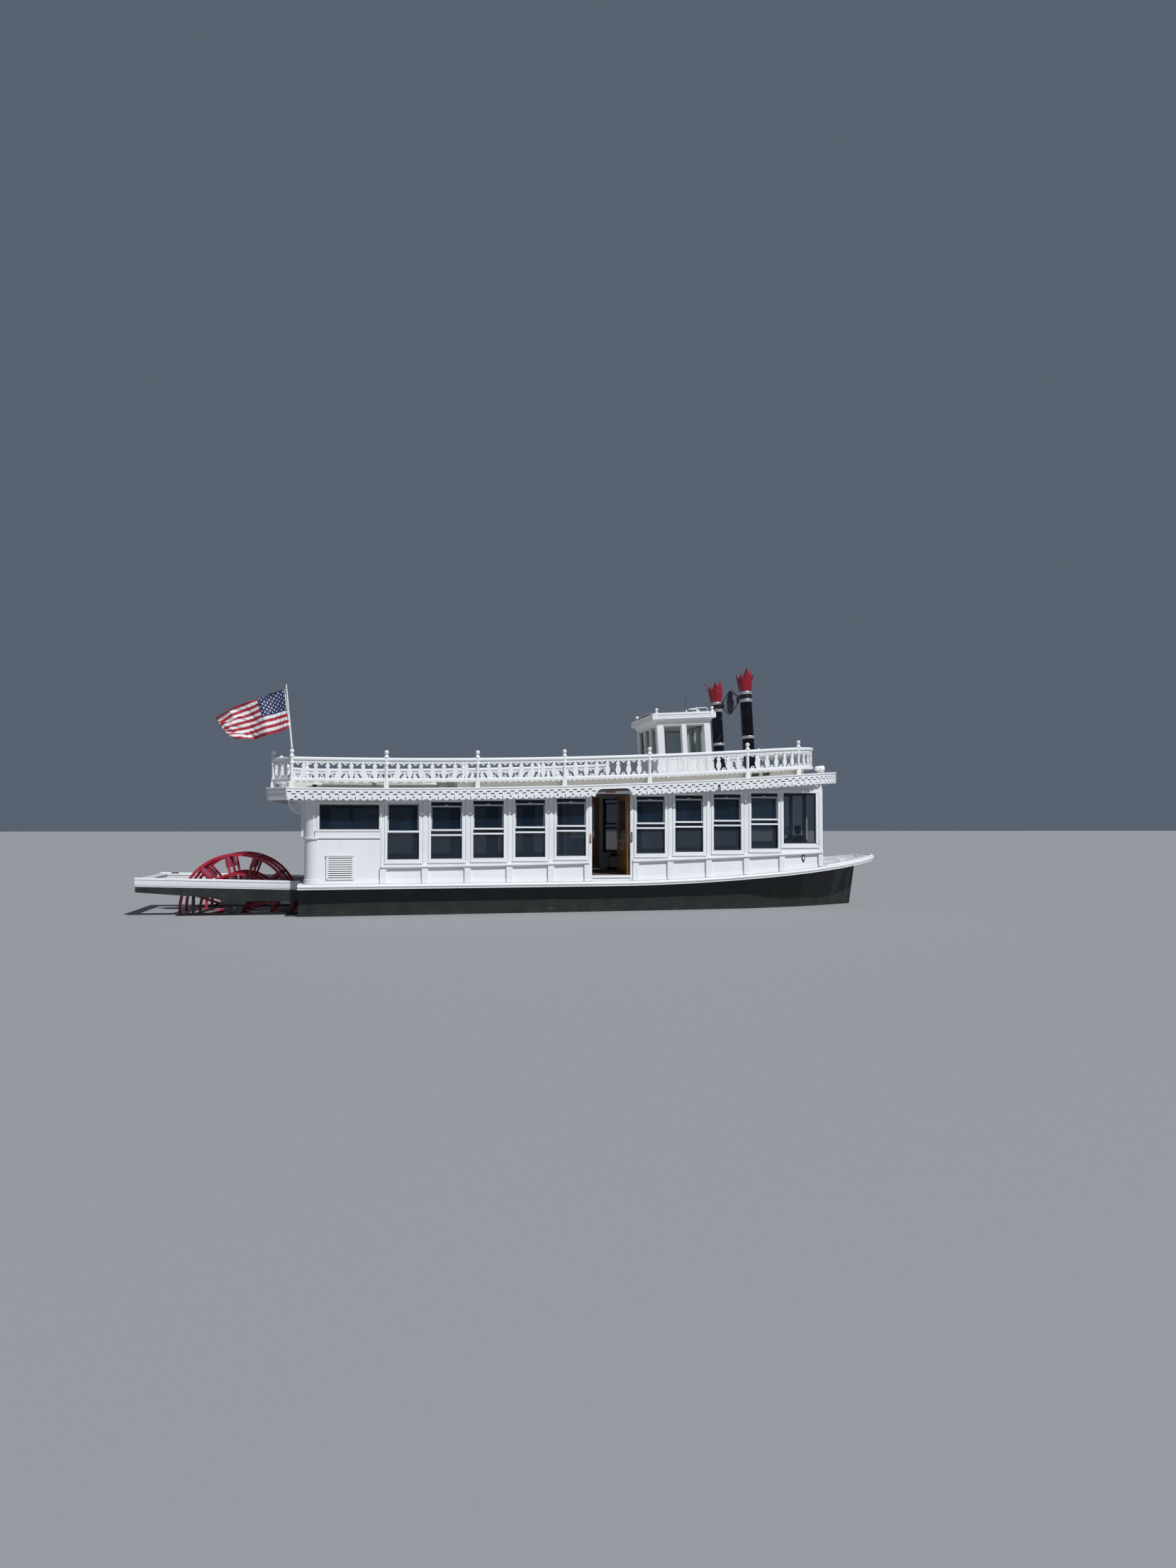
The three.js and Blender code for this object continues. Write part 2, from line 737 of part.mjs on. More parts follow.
// Aft of the step the coaming stands further in
const COAMING_STEP_X = -1900;
const COAMING_STEP = 450;
const coamingHalf = (x) => rail.half(x) - COAMING_INSET - (x < COAMING_STEP_X ? COAMING_STEP : 0);
const coamingTop = (x) => eaveTop(x) + COAMING_HIGH;
const COAMING_X = [-5600, 6500];
const coamingXs = [...stations(...COAMING_X), COAMING_STEP_X - 1, COAMING_STEP_X + 1].sort((a, b) => a - b);
add("roof_coaming", slab(coamingXs, coamingHalf, (x) => eaveTop(x) + GAP, coamingTop), "cream");

// Railing: rails, posts and sawn balusters along an open path
const POST_HALF = 45;
const POST_HIGH = 700;
// The ball on each post: [radius, height]
const BALL_ROWS = [
  [0, 0],
  [30, 0],
  [22, 45],
  [46, 80],
  [46, 110],
  [0, 140],
];
const BALL_SIDES = 8;
function post(x, y) {
  const base = Math.max(eaveTop(x - POST_HALF), eaveTop(x + POST_HALF)) + GAP;
  const top = eaveTop(x) + POST_HIGH;
  const shaft = box(x - POST_HALF, x + POST_HALF, y - POST_HALF, y + POST_HALF, base, top);
  return shaft.add(turned(BALL_ROWS, BALL_SIDES).translate([x, y, top - 1]));
}

// A sawn baluster as an outline of [across, up] fractions of its width and height
const BALUSTER = [
  [-0.28, 0],
  [0.28, 0],
  [0.5, 0.4],
  [0.28, 1],
  [-0.28, 1],
  [-0.5, 0.4],
];
const BALUSTER_WIDTH = 150;
const BALUSTER_THICK = 24;
// How far a baluster is let into the two rails, and its least distance from a post
const TENON = 10;
const POST_CLEAR = 100;
function baluster(x, y, angle) {
  const z0 = RAIL_LOW[2] - TENON;
  const high = RAIL_TOP[1] + TENON - z0;
  const outline = BALUSTER.map(([u, v]) => [u * BALUSTER_WIDTH, z0 + v * high]);
  const options = { depth: BALUSTER_THICK, bevelEnabled: false };
  const geometry = new THREE.ExtrudeGeometry(shapeOf(outline), options);
  geometry.translate(0, 0, -BALUSTER_THICK / 2);
  geometry.rotateX(Math.PI / 2);
  geometry.rotateZ(angle);
  geometry.translate(x, y, eaveTop(x));
  return solid(geometry);
}

function railing(path, posts) {
  const parts = [];
  const heights = (level) => (x) => eaveTop(x) + level;
  for (const [half, low, high] of [RAIL_LOW, RAIL_TOP]) {
    parts.push(ribbon(path, -half, half, heights(low), heights(high), false));
  }
  for (const [x, y] of posts) parts.push(post(x, y));
  const lengths = path.slice(1).map(([x, y], i) => Math.hypot(x - path[i][0], y - path[i][1]));
  const total = lengths.reduce((sum, l) => sum + l, 0);
  const count = Math.round(total / BALUSTER_PITCH);
  for (let k = 0; k < count; k++) {
    let s = ((k + 0.5) * total) / count;
    let i = 0;
    while (s > lengths[i]) s -= lengths[i++];
    const [a, b] = [path[i], path[i + 1]];
    const t = s / lengths[i];
    const x = a[0] + t * (b[0] - a[0]);
    const y = a[1] + t * (b[1] - a[1]);
    if (posts.every(([px, py]) => Math.hypot(px - x, py - y) > POST_CLEAR)) {
      parts.push(baluster(x, y, Math.atan2(b[1] - a[1], b[0] - a[0])));
    }
  }
  return union(parts);
}

const POST_XS = [-5420, -3440, -1460, 500, 2490, 4880];
const RAIL_JOIN_X = 4880;
const FRONT_POST_X = 6260;
for (const [name, side] of SIDES) {
  const xs = rail.xs.filter((x) => x >= RAIL_CHAMFER_X && x < RAIL_JOIN_X);
  const path = [...xs, RAIL_JOIN_X].map((x) => [x, side * rail.half(x)]);
  add("railing_" + name, railing(path, POST_XS.map((x) => [x, side * rail.half(x)])), "white");
}
// The end railings start at a post of the side railings, and are cut back to its faces
function clearOfPosts(body, x) {
  const reach = POST_HALF + GAP;
  return SIDES.reduce((rest, [, side]) => {
    const y = side * rail.half(x);
    const [z0, z1] = [eaveTop(x), eaveTop(x) + 2 * POST_HIGH];
    return rest.subtract(box(x - reach, x + reach, y - reach, y + reach, z0, z1));
  }, body);
}
const frontXs = [RAIL_JOIN_X, ...rail.xs.filter((x) => x > RAIL_JOIN_X)];
const frontPath = frontXs.map((x) => [x, -rail.half(x)]);
const frontRail = [...frontPath, ...frontPath.map(([x, y]) => [x, -y]).reverse()];
const frontPosts = SIDES.map(([, side]) => [FRONT_POST_X, side * rail.half(FRONT_POST_X)]);
const frontWhole = clearOfPosts(railing(frontRail, frontPosts), RAIL_JOIN_X);
// It meets in the middle, one half on each side
for (const [name, side] of SIDES) {
  const [y0, y1] = side < 0 ? [-GAP / 2, WALL_HALF] : [-WALL_HALF, GAP / 2];
  const other = box(RAIL_JOIN_X, CABIN_FRONT_X + 1000, y0, y1, FASCIA_Z, FASCIA_Z + 2000);
  add("railing_front_" + name, frontWhole.subtract(other), "white");
}
const aftRail = [
  [RAIL_CHAMFER_X, -rail.half(RAIL_CHAMFER_X)],
  [RAIL_AFT_X, -RAIL_AFT_HALF],
  [RAIL_AFT_X, RAIL_AFT_HALF],
  [RAIL_CHAMFER_X, rail.half(RAIL_CHAMFER_X)],
];
const aftPosts = [-1, 0, 1].map((k) => [RAIL_AFT_X, k * RAIL_AFT_HALF]);
add("railing_aft", clearOfPosts(railing(aftRail, aftPosts), RAIL_CHAMFER_X), "white");

// Wheelhouse
const HOUSE_AFT_X = 2960;
const HOUSE_FRONT_X = 4250;
const HOUSE_HALF = 1080;
const HOUSE_WALL = 60;
const HOUSE_GLASS = [3660, 4350];
const HOUSE_TOP = 4500;
// Breadth of a corner post along the side, half that of the bar between the panes, and the end panes
const HOUSE_POST = 150;
const HOUSE_BAR = 60;
const HOUSE_END_PANES = [
  [-900, -380],
  [-260, 260],
  [380, 900],
];
// The house leans aft about a point at its foot, as do the stacks
const RAKE_DEG = 3.2;
const HOUSE_PIVOT = [3605, 3250];
function leaned(body) {
  const [x, z] = HOUSE_PIVOT;
  return body.translate([-x, 0, -z]).rotate([0, -RAKE_DEG, 0]).translate([x, 0, z]);
}

// The box around the house, a distance outside its walls
function houseBox(out, z0, z1) {
  const half = HOUSE_HALF + out;
  return box(HOUSE_AFT_X - out, HOUSE_FRONT_X + out, -half, half, z0, z1);
}

function houseWalls() {
  const [z0, z1] = HOUSE_GLASS;
  const middle = (HOUSE_AFT_X + HOUSE_FRONT_X) / 2;
  const shell = houseBox(0, FASCIA_Z, HOUSE_TOP).subtract(houseBox(-HOUSE_WALL, 0, HOUSE_TOP + 1));
  const sideCut = union([
    box(HOUSE_AFT_X + HOUSE_POST, middle - HOUSE_BAR, -WALL_HALF, WALL_HALF, z0, z1),
    box(middle + HOUSE_BAR, HOUSE_FRONT_X - HOUSE_POST, -WALL_HALF, WALL_HALF, z0, z1),
  ]);
  const endCut = union(
    HOUSE_END_PANES.map(([y0, y1]) => box(HOUSE_AFT_X - 1, HOUSE_FRONT_X + 1, y0, y1, z0, z1)),
  );
  const below = slab(
    stations(HOUSE_AFT_X - KNOT, HOUSE_FRONT_X + KNOT),
    () => WALL_HALF,
    () => 0,
    (x) => coamingTop(x) + GAP,
  );
  return leaned(shell.subtract(sideCut).subtract(endCut)).subtract(below);
}
add("wheelhouse_walls", houseWalls(), "white");
function houseGlass() {
  const [z0, z1] = [HOUSE_GLASS[0] - GLASS_LAP, HOUSE_GLASS[1] + GLASS_LAP];
  const inset = HOUSE_WALL + GAP;
  return leaned(houseBox(-inset, z0, z1).subtract(houseBox(-inset - GLASS_THICK, z0 - 1, z1 + 1)));
}
add("wheelhouse_glazing", houseGlass(), "glass");

// The cornice and the edge of the roof, going up: [distance out from the wall, height]
const CORNICE = [
  [12, 4370],
  [38, 4420],
  [60, 4475],
  [105, 4500],
  [130, 4510],
  [130, 4624],
  [118, 4634],
];
const HOUSE_CAMBER = 90;
const CAMBER_STEPS = 12;
function houseRoof() {
  const rings = CORNICE.map(([out, z]) => {
    const [x0, x1, half] = [HOUSE_AFT_X - out, HOUSE_FRONT_X + out, HOUSE_HALF + out];
    return rectangle(x0, x1, -half, half).map(([x, y]) => [x, y, z]);
  });
  const [out, edgeZ] = CORNICE.at(-1);
  const half = HOUSE_HALF + out;
  const arch = [];
  for (let i = 0; i <= CAMBER_STEPS; i++) {
    const y = half * (1 - (2 * i) / CAMBER_STEPS);
    arch.push([y, edgeZ + HOUSE_CAMBER * (1 - (y / half) ** 2)]);
  }
  const foot = edgeZ - HOUSE_CAMBER;
  const crownOfRoof = plateYZ([[-half, foot], [half, foot], ...arch], HOUSE_AFT_X - out, HOUSE_FRONT_X + out);
  return leaned(union([loft(rings), crownOfRoof]).subtract(houseBox(GAP, 0, HOUSE_TOP + GAP)));
}
add("wheelhouse_roof", houseRoof(), "white");

// Smokestacks with their flared petal crowns
const STACK_X = 5150;
const STACK_Y = 1250;
const STACK_R = 142;
const STACK_SIDES = 24;
const RAKE = (RAKE_DEG * Math.PI) / 180;
const STACK_LOW_Z = 2950;
const STACK_LENGTH = 2220;
const BAND_R = STACK_R + 9;
// Bands from the foot up: [bottom, top] along the stack
const BANDS = [
  [1086, 1156],
  [1963, 2044],
  [2147, 2219],
];

// Crown: a cup that swells, then flares out to the tips of its petals
const PETALS = 8;
const PETAL_TURN = (-83 * Math.PI) / 180;
const CROWN_HIGH = 552;
const CROWN_NOTCH = 215;
const CROWN_THICK = 9;
const CROWN_R = 143;
const CROWN_SWELL = [38, 300];
const CROWN_FLARE = [50, 190];
const CROWN_LEVELS = [0, 0.25, 0.5, 0.75, 1];
// Points across half a petal, from its middle to the notch
const PETAL_STEPS = 2;
// Power that shapes the edge of a petal from its tip to the notch
const PETAL_EDGE = 0.8;

// A body about the Z axis leaned aft and set down where a stack stands
function raked(body, y) {
  return body.rotate([0, -RAKE_DEG, 0]).translate([STACK_X, y, STACK_LOW_Z]);
}

function stack(y) {
  const rows = [
    [0, 0],
    [STACK_R, 0],
  ];
  for (const [z0, z1] of BANDS) rows.push([STACK_R, z0], [BAND_R, z0], [BAND_R, z1], [STACK_R, z1]);
  rows.push([STACK_R, STACK_LENGTH], [0, STACK_LENGTH]);
  const below = slab(
    stations(STACK_X - KNOT, STACK_X + KNOT),
    () => HULL_ROWS[0][2],
    () => 0,
    (x) => coamingTop(x) + GAP,
  );
  return raked(turned(rows, STACK_SIDES), y).subtract(below);
}

function crownRadius(z) {
  const [swell, swellZ] = CROWN_SWELL;
  const [flare, flareZ] = CROWN_FLARE;
  const t = Math.max(0, z - flareZ) / (CROWN_HIGH - flareZ);
  return CROWN_R + swell * Math.sin((Math.min(1, z / swellZ) * Math.PI) / 2) + flare * t ** 1.5;
}

function crown(y) {
  const count = 2 * PETALS * PETAL_STEPS;
  const ring = (level, inset) => {
    const points = [];
    for (let k = 0; k < count; k++) {
      const fromTip = Math.abs(((k + PETAL_STEPS) % (2 * PETAL_STEPS)) - PETAL_STEPS) / PETAL_STEPS;
      const z = level * (CROWN_HIGH - (CROWN_HIGH - CROWN_NOTCH) * fromTip ** PETAL_EDGE);
      const a = PETAL_TURN + (k * 2 * Math.PI) / count;
      const r = crownRadius(z) - inset;
      points.push([r * Math.cos(a), r * Math.sin(a), STACK_LENGTH + GAP + z]);
    }
    return points;
  };
  const outer = CROWN_LEVELS.map((level) => ring(level, 0));
  const inner = CROWN_LEVELS.map((level) => ring(level, CROWN_THICK)).reverse();
  return raked(loft([...outer, ...inner], true), y);
}

for (const [name, side] of SIDES) {
  add("smokestack_" + name, stack(side * STACK_Y), "navy");
  add("stack_crown_" + name, crown(side * STACK_Y), "crimson");
}

// Crossbar ornament between the stacks, in a plane across the boat
const ORNAMENT_Z = 5030;
const ORNAMENT_X = STACK_X - Math.tan(RAKE) * (ORNAMENT_Z - STACK_LOW_Z);
const ORNAMENT_REACH = 1000;
const ORNAMENT_HIGH = 295;
const ORNAMENT_BAR = 28;
const ORNAMENT_SIDES = 32;
// The bar drawn across the boat from each small disc to its stack: [from |y|, to |y|]
const TAB = [900, STACK_Y];
// The middle disc and one beside each stack: [y, radius]
const DISCS = [
  [0, 274],
  [-965, 100],
  [965, 100],
];
const DISC_THICK = 28;

// An outline about the ornament's middle; its power draws the ends out to points
function roundOutline(y, reach, high, power) {
  const points = [];
  for (let k = 0; k < ORNAMENT_SIDES; k++) {
    const a = (k * 2 * Math.PI) / ORNAMENT_SIDES;
    const across = Math.sign(Math.cos(a)) * Math.abs(Math.cos(a)) ** power;
    points.push([y + reach * across, ORNAMENT_Z + high * Math.sin(a)]);
  }
  return points;
}
const EYE_POWER = 1.2;
function ornament() {
  const across = (points, thick, holes = []) => {
    return plateYZ(points, ORNAMENT_X - thick / 2, ORNAMENT_X + thick / 2, holes);
  };
  const outer = roundOutline(0, ORNAMENT_REACH, ORNAMENT_HIGH, EYE_POWER);
  const hole = offsetPath(outer, ORNAMENT_BAR, true);
  const tabs = SIDES.map(([, side]) => {
    const [y0, y1] = side < 0 ? [-TAB[1], -TAB[0]] : TAB;
    const half = ORNAMENT_BAR / 2;
    return box(ORNAMENT_X - half, ORNAMENT_X + half, y0, y1, ORNAMENT_Z - half, ORNAMENT_Z + half);
  });
  const discs = DISCS.map(([y, radius]) => across(roundOutline(y, radius, radius, 1), DISC_THICK));
  const whole = union([across(outer, ORNAMENT_BAR, [hole]), ...discs, ...tabs]);
  const clear = rod(BAND_R + GAP, 0, STACK_LENGTH, STACK_SIDES);
  const around = SIDES.map(([, side]) => raked(clear, side * STACK_Y));
  return around.reduce((body, cutter) => body.subtract(cutter), whole);
}
add("stack_ornament", ornament(), "black");

// Flagpole on the starboard aft post, and the flag
const POLE_X = -5420;
const POLE_Y = -rail.half(POLE_X);
const POLE_BASE_Z = eaveTop(POLE_X) + 845;
const POLE_TOP_Z = 4950;
const POLE_RAKE = (5.5 * Math.PI) / 180;
const POLE_TOP_R = 13;
const POLE_FOOT_R = 20;
// The foot leans with the pole, so it is set a little higher to clear the ball below it
const POLE_LIFT = 3;
function pole() {
  const length = (POLE_TOP_Z - POLE_BASE_Z) / Math.cos(POLE_RAKE);
  const geometry = new THREE.CylinderGeometry(POLE_TOP_R, POLE_FOOT_R, length, 12);
  geometry.rotateX(Math.PI / 2);
  geometry.translate(0, 0, length / 2);
  geometry.rotateY(-POLE_RAKE);
  geometry.translate(POLE_X, POLE_Y, POLE_BASE_Z + POLE_LIFT);
  return solid(geometry);
}
add("flagpole", pole(), "white");

// The flag's outline as it hangs: luff along the pole, fly gathered by its droop
const FLAG_ROWS = [
  // x, upper z, lower z, sway of the cloth in y
  [-5574, 4850, 3990, 0],
  [-5850, 4790, 3900, 25],
  [-6150, 4640, 3830, -25],
  [-6450, 4480, 3780, 25],
  [-6700, 4360, 3770, -15],
  [-6980, 4215, 4100, 10],
];
const FLAG_HALF_THICK = 12;
function flag() {
  return loft(
    FLAG_ROWS.map(([x, high, low, sway], i) => {
      const lean = i === 0 ? Math.tan(POLE_RAKE) * (high - low) : 0;
      const y = POLE_Y + sway;
      return [
        [x, y - FLAG_HALF_THICK, high],
        [x, y + FLAG_HALF_THICK, high],
        [x + lean, y + FLAG_HALF_THICK, low],
        [x + lean, y - FLAG_HALF_THICK, low],
      ];
    }),
  );
}
add("flag", flag(), "flag");

// Searchlight on the front of the roof
const LAMP_X = 7000;
const LAMP_Y = -950;
const LAMP_CLEAR = 8;
const LAMP_STEM_R = 30;
const LAMP_HIGH = 115;
// The head from its narrow aft end to its lens: [radius, distance forward of the stem]
const LAMP_ROWS = [
  [0, -130],
  [38, -120],
  [62, -70],
  [80, 10],
  [85, 70],
  [85, 100],
  [0, 110],
];
function lamp() {
  const base = eaveTop(LAMP_X) + LAMP_CLEAR;
  const stem = rod(LAMP_STEM_R, base, base + LAMP_HIGH).translate([LAMP_X, LAMP_Y, 0]);
  const head = turned(LAMP_ROWS, 20).rotate([0, 90, 0]).translate([LAMP_X, LAMP_Y, base + LAMP_HIGH]);
  return stem.add(head);
}
add("searchlight", lamp(), "white");

// Stern platform: two side beams, an end beam, and the black wheel beams at the waterline
const BEAM_LOW_Z = [370, 518];
const BEAM_FOOT_Z = 300;
const BEAM_TOP_Z = [690, 790];
// The block under each side beam that the wheel's bearing hangs from
const SEAT_Z = 234;
const SEAT_X = [-6980, -6450];
const STRUT_FRONT_X = -7535;
function beamBottom(x) {
  const t = (x - SEAT_X[0]) / (PLATFORM_AFT_X - SEAT_X[0]);
  return BEAM_LOW_Z[0] + t * (BEAM_LOW_Z[1] - BEAM_LOW_Z[0]);
}
const BEAM_OUTLINE = [
  [DECK_AFT_X - GAP, BEAM_FOOT_Z],
  [DECK_AFT_X - GAP, BEAM_TOP_Z[0]],
  [PLATFORM_AFT_X, BEAM_TOP_Z[1]],
  [PLATFORM_AFT_X, BEAM_LOW_Z[1]],
  [SEAT_X[0], BEAM_LOW_Z[0]],
  [SEAT_X[0], SEAT_Z],
  [SEAT_X[1], SEAT_Z],
  [SEAT_X[1], BEAM_FOOT_Z],
];
const LOWER_Z = [-80, 30];
const LOWER_Y = [1350, 1530];
const LOWER_OUTLINE = [
  [DECK_AFT_X - GAP, LOWER_Z[0]],
  [DECK_AFT_X - GAP, LOWER_Z[1]],
  [-7930, LOWER_Z[1]],
  [-7700, LOWER_Z[0]],
];
const STRUT = { x: [-7590, STRUT_FRONT_X], y: [1400, 1500] };
const BEARING_Y = [1330, 1500];
const BEARING_LIP_Z = SEAT_Z - 44;
const BEARING_OUTLINE = [
  [-6840, LOWER_Z[1] + GAP],
  [-6940, BEARING_LIP_Z],
  [-6960, SEAT_Z - GAP],
  [-6470, SEAT_Z - GAP],
  [-6490, BEARING_LIP_Z],
  [-6580, LOWER_Z[1] + GAP],
];
const SHAFT_CLEAR = 3;
const END_BEAM = { thick: 180, z: [560, 780] };
for (const [name, side] of SIDES) {
  const span = ([a, b]) => (side < 0 ? [-b, -a] : [a, b]);
  const beam = plateXZ(BEAM_OUTLINE, ...span([PLATFORM_INNER, PLATFORM_HALF]));
  add("platform_beam_" + name, beam, "white");
  const lower = plateXZ(LOWER_OUTLINE, ...span(LOWER_Y));
  const strut = box(...STRUT.x, ...span(STRUT.y), 0, beamBottom(STRUT_FRONT_X) - GAP);
  add("wheel_beam_" + name, lower.add(strut), "black");
  const bearing = plateXZ(BEARING_OUTLINE, ...span(BEARING_Y));
  const bore = rod(SHAFT_R + SHAFT_CLEAR, -WALL_HALF, WALL_HALF, 16, true).translate([WHEEL_X, 0, WHEEL_Z]);
  add("shaft_bearing_" + name, bearing.subtract(bore), "black");
}
const endHalf = PLATFORM_INNER - GAP;
add(
  "platform_end_beam",
  box(PLATFORM_AFT_X, PLATFORM_AFT_X + END_BEAM.thick, -endHalf, endHalf, ...END_BEAM.z),
  "white",
);

// Paddle wheel: shaft, three spoked frames, and the bucket boards on the middle one
const wheel = new THREE.Group();
wheel.position.set(WHEEL_X, 0, WHEEL_Z);
boat.add(wheel);

const HOOP_SIDES = 32;
const RIM = [WHEEL_R, WHEEL_R - 62];
const INNER_RING = [805, 745];
const HUB_R = 150;
const HUB_HALF = 40;
const SPOKE = { halfWide: 26, halfThick: 14 };
const BUCKET = { from: WHEEL_R - 295, to: WHEEL_R - 12, thick: 26 };
function hoop([outer, inner]) {
  const half = FRAME_THICK / 2;
  return turned(
    [
      [inner, -half],
      [outer, -half],
      [outer, half],
      [inner, half],
      [inner, -half],
    ],
    HOOP_SIDES,
  );
}

function upright(body) {
  return body.rotate([90, 0, 0]);
}

function wheelFrame(withBuckets) {
  const parts = [hoop(RIM), hoop(INNER_RING), rod(HUB_R, -HUB_HALF, HUB_HALF, 24)];
  const { halfWide, halfThick } = SPOKE;
  for (let k = 0; k < WHEEL_SPOKES; k++) {
    const turn = (k * 360) / WHEEL_SPOKES;
    parts.push(box(HUB_R / 2, RIM[1] + 20, -halfWide, halfWide, -halfThick, halfThick).rotate([0, 0, turn]));
    if (withBuckets) {
      const reach = FRAME_Y - FRAME_THICK / 2 - GAP;
      const [y0, y1] = [halfWide, halfWide + BUCKET.thick];
      parts.push(box(BUCKET.from, BUCKET.to, y0, y1, -reach, reach).rotate([0, 0, turn]));
    }
  }
  const bore = rod(SHAFT_R + 0.5, -FRAME_Y, FRAME_Y);
  return upright(union(parts).subtract(bore));
}

for (const [name, y] of [
  ["starboard", -FRAME_Y],
  ["middle", 0],
  ["port", FRAME_Y],
]) {
  add("wheel_frame_" + name, wheelFrame(name === "middle"), "crimson", wheel).position.y = y;
}
const SHAFT_HALF = 1480;
add("wheel_shaft", upright(rod(SHAFT_R, -SHAFT_HALF, SHAFT_HALF)), "black", wheel);

// Rudders under the run of the hull, ahead of the wheel, each on its stock below a boss
const RUDDER_TOP_Z = -345;
const RUDDER_LOW_Z = -640;
const RUDDER_LEAD = 130;
const RUDDER_TRAIL = 420;
const RUDDER_HALF_THICK = 18;
// The stock: its radius, how far it is let into the blade, and its clearance below the boss
const STOCK = { r: 28, let: 255, clear: 5 };
for (const [name, side] of SIDES) {
  const pivot = new THREE.Group();
  pivot.position.set(RUDDER_X, side * RUDDER_Y, 0);
  boat.add(pivot);
  const outline = rectangle(-RUDDER_TRAIL, RUDDER_LEAD, RUDDER_LOW_Z, RUDDER_TOP_Z);
  const blade = plateXZ(outline, -RUDDER_HALF_THICK, RUDDER_HALF_THICK);
  const stock = rod(STOCK.r, RUDDER_TOP_Z - STOCK.let, BOSS_Z - STOCK.clear, 12);
  add("rudder_" + name, blade.add(stock), "black", pivot);
}

export default boat;
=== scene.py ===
"""Sternwheel paddle boat: finishes, fretwork, mouldings, glass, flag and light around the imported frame.

Metres, X forward, Y to port, Z up, with the origin amidships at the waterline. The starboard side is made
first and mirrored to port.
"""

import math

import bmesh
import bpy
import numpy as np
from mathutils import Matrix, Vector
from mathutils.bvhtree import BVHTree


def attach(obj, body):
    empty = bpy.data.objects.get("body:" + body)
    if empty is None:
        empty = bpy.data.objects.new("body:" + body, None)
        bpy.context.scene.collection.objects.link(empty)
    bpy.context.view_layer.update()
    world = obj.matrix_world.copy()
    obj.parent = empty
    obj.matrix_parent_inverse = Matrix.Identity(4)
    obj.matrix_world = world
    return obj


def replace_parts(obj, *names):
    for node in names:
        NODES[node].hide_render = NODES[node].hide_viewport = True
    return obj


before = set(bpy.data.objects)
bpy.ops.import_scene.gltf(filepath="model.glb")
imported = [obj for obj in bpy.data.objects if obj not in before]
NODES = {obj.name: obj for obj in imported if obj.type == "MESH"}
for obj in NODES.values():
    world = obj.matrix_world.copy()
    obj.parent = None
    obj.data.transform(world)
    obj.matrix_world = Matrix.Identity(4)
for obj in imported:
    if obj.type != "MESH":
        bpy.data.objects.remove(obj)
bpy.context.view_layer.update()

# Sheer and plan of the boat, as the frame has them
KNOT = 0.5
ARC_END = math.pi / 2
DOOR_X = 1.61
DOOR_HALF = 0.45
WALL_TAPER = 0.0752
WALL_AFT_X = -4.9
CABIN_AFT_X = -5.17
CABIN_FRONT_X = 6.81
SILL_Z = 0.83
DOOR_TOP_Z = 2.68
FASCIA_HIGH = 0.26
COAMING_HIGH = 0.15


def chord(curve):
    """A curve of height against x, made straight between stations KNOT apart."""

    def height(x):
        x = np.asarray(x, float)
        a = np.floor(x / KNOT) * KNOT
        t = (x - a) / KNOT
        return curve(a) * (1 - t) + curve(a + KNOT) * t

    return height


deck_top = chord(lambda x: 0.7 + 0.01 * np.maximum(0, x - 1.5) ** 2)
fascia_bottom = chord(lambda x: 2.49 + 0.0036 * (x + 4.39) ** 2)


def eave_top(x):
    return fascia_bottom(x) + FASCIA_HIGH


def coaming_top(x):
    return eave_top(x) + COAMING_HIGH


def wall_half(x):
    return 1.95 - WALL_TAPER * (x - DOOR_X)


def window_bottom(x):
    return 1.215 + 0.0021 * (x + 4.39) ** 2


def window_head(x):
    return 2.545 + 0.0325 * x


# Shapes


def full_turn(count):
    """Angles that share out a circle evenly."""
    return np.linspace(0, 2 * math.pi, count, endpoint=False)


def span(sign, a, b):
    """Limits at two distances on one side of the middle, the lower one first."""
    return sorted((sign * a, sign * b))


def ease(obj, width, degrees=35):
    """Rounds an object's sharp edges by a modifier, so that its mesh stays as it is."""
    edge = obj.modifiers.new("edge", "BEVEL")
    edge.width = width
    edge.segments = 2
    edge.limit_method = "ANGLE"
    edge.angle_limit = math.radians(degrees)


